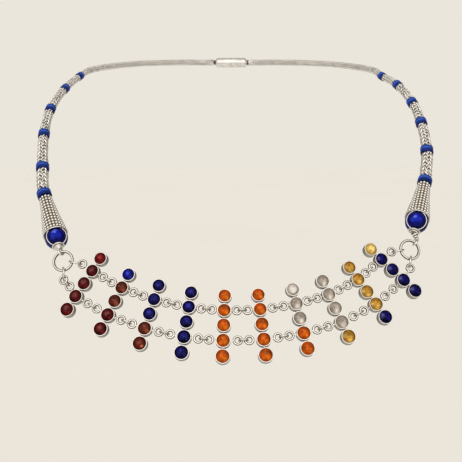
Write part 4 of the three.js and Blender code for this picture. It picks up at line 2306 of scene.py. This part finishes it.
def two_ends() -> list[End]:
    """Lays out the left and the right end.

    Returns:
        The two ends.
    """
    left = End(
        side=Side.LEFT,
        lot=5.0,
        ring=measured(-57.3, 15.7, -11.4),
        hang=20,
        splay=22.0,
        eye_turn=28.0,
        ball=measured(-60.5, 22.0, -4.1),
        cap_axis=leaning(-22, 43),
        cone_axis=leaning(-23, 39.5),
        outer={Strand.UPPER: (math.radians(4), 0.75 * MM), Strand.LOWER: (math.radians(23), 0.4 * MM)},
        spare=measured(-56.8, 12.9, -17.5),
        spare_across=-56.8 * MM,
        sleeves=(1.85, 14, 29.2, 41.7, 55.1, 66.6),
        route=[
            measured(-68.4, 42.3, 19.7),
            measured(-69.3, 51.7, 31.7),
            measured(-68.1, 59.8, 41.1),
            measured(-64.0, 69.7, 49.2),
            measured(-59.6, 78.8, 54.4),
        ],
    )
    right = End(
        side=Side.RIGHT,
        ring=measured(61.2, 18.4, -7.8),
        hang=-42,
        splay=-23.0,
        facing=23.0,
        ball=measured(64.2, 23.2, 1.4),
        cap_axis=leaning(20, 32),
        cone_axis=leaning(21, 45),
        outer={Strand.UPPER: (math.radians(-9), 1.1 * MM), Strand.LOWER: (math.radians(9), 1.35 * MM)},
        sleeves=(1.85, 15.7, 28.9, 39.5, 51.8, 62.3),
        route=[
            measured(71.4, 45.8, 25.8),
            measured(70.6, 54.0, 36.0),
            measured(68.3, 61.0, 43.6),
            measured(64.1, 70.2, 50.6),
            measured(59.3, 78.7, 54.4),
        ],
    )
    return [left, right]


@dataclass
class Studio:
    """The floor, the light and the camera."""

    floor_drop: float = 0.40
    floor_size: float = 24.0
    floor_patch: float = 1.5
    floor_shades: tuple[Colour, Colour] = (srgb(235, 231, 223), srgb(239, 235, 227))
    distance: float = 355 * MM
    aim: tuple[float, float, float] = (-0.1 * MM, 0.0, 0.27 * MM)
    elevation: float = 5.0
    lens: float = 85.0
    backdrop: Colour = srgb(235, 230, 220)
    warmth: Colour = (1.0, 0.98, 0.95)
    # How light the sky is, from straight below at 0 to straight above at 1, ahead of the front and behind it.
    ahead: tuple[tuple[float, float], ...] = (
        (0.0, 0.6), (0.25, 0.7), (0.42, 0.45), (0.5, 0.7), (0.62, 1.2), (1.0, 1.25)
    )
    behind: tuple[tuple[float, float], ...] = (
        (0.0, 0.62), (0.2, 0.5), (0.36, 0.32), (0.5, 0.26), (0.75, 0.2), (1.0, 0.5)
    )
    ahead_until: float = -0.85
    behind_from: float = -0.05
    left_until: float = -0.3
    right_from: float = 0.7
    right_side: float = 0.9
    lit: float = 0.86
    mirrored: float = 1.3
    sun: float = 2.15
    sun_width: float = 22.0
    sun_way: tuple[float, float, float] = (0.55, 0.45, -0.95)

    def build(self) -> None:
        """Sets the studio up."""
        self.build_floor()
        self.build_world()
        self.build_lights()
        self.build_camera()
        bpy.context.scene.view_settings.view_transform = "Standard"
        log.info("studio: floor, world, lights and camera")

    def build_floor(self) -> None:
        """Lays the pale floor."""
        lay_down_all()
        bpy.ops.mesh.primitive_plane_add(size=self.floor_size, location=(0, 0, -self.floor_drop))
        floor = settled(bpy.context.active_object)
        floor.name = "floor"
        paint = Paint("pale floor")
        colour = paint.mix(paint.noise(self.floor_patch), *self.floor_shades)
        floor.data.materials.append(paint.finish(Base_Color=colour, Roughness=0.9, Specular_IOR_Level=0.1))
        floor.visible_glossy = False

    def build_world(self) -> None:
        """Surrounds the object with a pale sky that is darker low down, so silver has something to mirror."""
        world = bpy.data.worlds.new("studio")
        bpy.context.scene.world = world
        world.use_nodes = True
        world.node_tree.nodes.clear()
        sky = Nodes(world.node_tree)
        way = sky.node("ShaderNodeSeparateXYZ", None, {0: sky.take("ShaderNodeTexCoord", output="Generated")})
        across, back, up = (Wire(sky, socket) for socket in way.outputs)
        level = sky.math("MULTIPLY_ADD", up, 0.5, 0.5)
        ahead, behind = (
            sky.take("ShaderNodeValToRGB", {"stops": self.warmed(stops)}, {0: level})
            for stops in (self.ahead, self.behind)
        )
        colour = sky.mix(sky.between(back, self.ahead_until, self.behind_from), ahead, behind)
        aside = sky.between(across, self.left_until, self.right_from, 1.0, self.right_side)
        rays = sky.node("ShaderNodeLightPath")
        glossy, direct = (Wire(sky, rays.outputs[kind]) for kind in ("Is Glossy Ray", "Is Camera Ray"))
        gain = sky.math("MULTIPLY_ADD", glossy, self.mirrored - self.lit, self.lit)
        lit = sky.take("ShaderNodeBackground", None, {"Color": colour, "Strength": gain * aside})
        seen = sky.take("ShaderNodeBackground", None, {"Color": self.backdrop})
        mixed = sky.take("ShaderNodeMixShader", None, {0: direct, 1: lit, 2: seen})
        sky.node("ShaderNodeOutputWorld", None, {0: mixed})

    def warmed(self, stops: Sequence[tuple[float, float]]) -> list[tuple[float, Colour]]:
        """Returns a ramp's stops with each one's lightness made a warm grey."""
        return [(place, tuple(light * share for share in self.warmth)) for place, light in stops]

    def build_lights(self) -> None:
        """Hangs a wide soft light high on the left, as even over the floor as over the object."""
        lamp = bpy.data.lights.new("key light", "SUN")
        lamp.energy = self.sun
        lamp.angle = math.radians(self.sun_width)
        lamp.color = self.warmth
        stand = bpy.data.objects.new("key light", lamp)
        bpy.context.scene.collection.objects.link(stand)
        stand.visible_glossy = False
        stand.rotation_euler = Vector(self.sun_way).to_track_quat("-Z", "Y").to_euler()

    def build_camera(self) -> None:
        """Stands the camera in front, a little above the middle of the front."""
        lift = math.radians(self.elevation)
        offset = Vector((0, -math.cos(lift), math.sin(lift))) * self.distance
        data = bpy.data.cameras.new("camera")
        data.lens = self.lens
        data.sensor_width = 36.0
        data.clip_start = 0.01
        data.clip_end = 100.0
        camera = bpy.data.objects.new("camera", data)
        bpy.context.scene.collection.objects.link(camera)
        camera.location = FRONT_MIDDLE + Vector(self.aim) + offset
        camera.rotation_euler = (-offset).to_track_quat("-Z", "Y").to_euler()
        bpy.context.scene.camera = camera


def main() -> None:
    """Builds the necklace and its studio."""
    logging.basicConfig(level=logging.INFO, format="%(name)s: %(message)s")
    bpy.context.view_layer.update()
    Studio().build()
    finishes = Finishes()
    front = Front(front_bars())
    ends = two_ends()
    front.lay_out(ends)
    front.build(finishes.silver)
    for end, last in zip(ends, (front.bars[0], front.bars[-1])):
        end.build(last, finishes)
    Clasp().build(finishes)


if __name__ == "__main__":
    main()
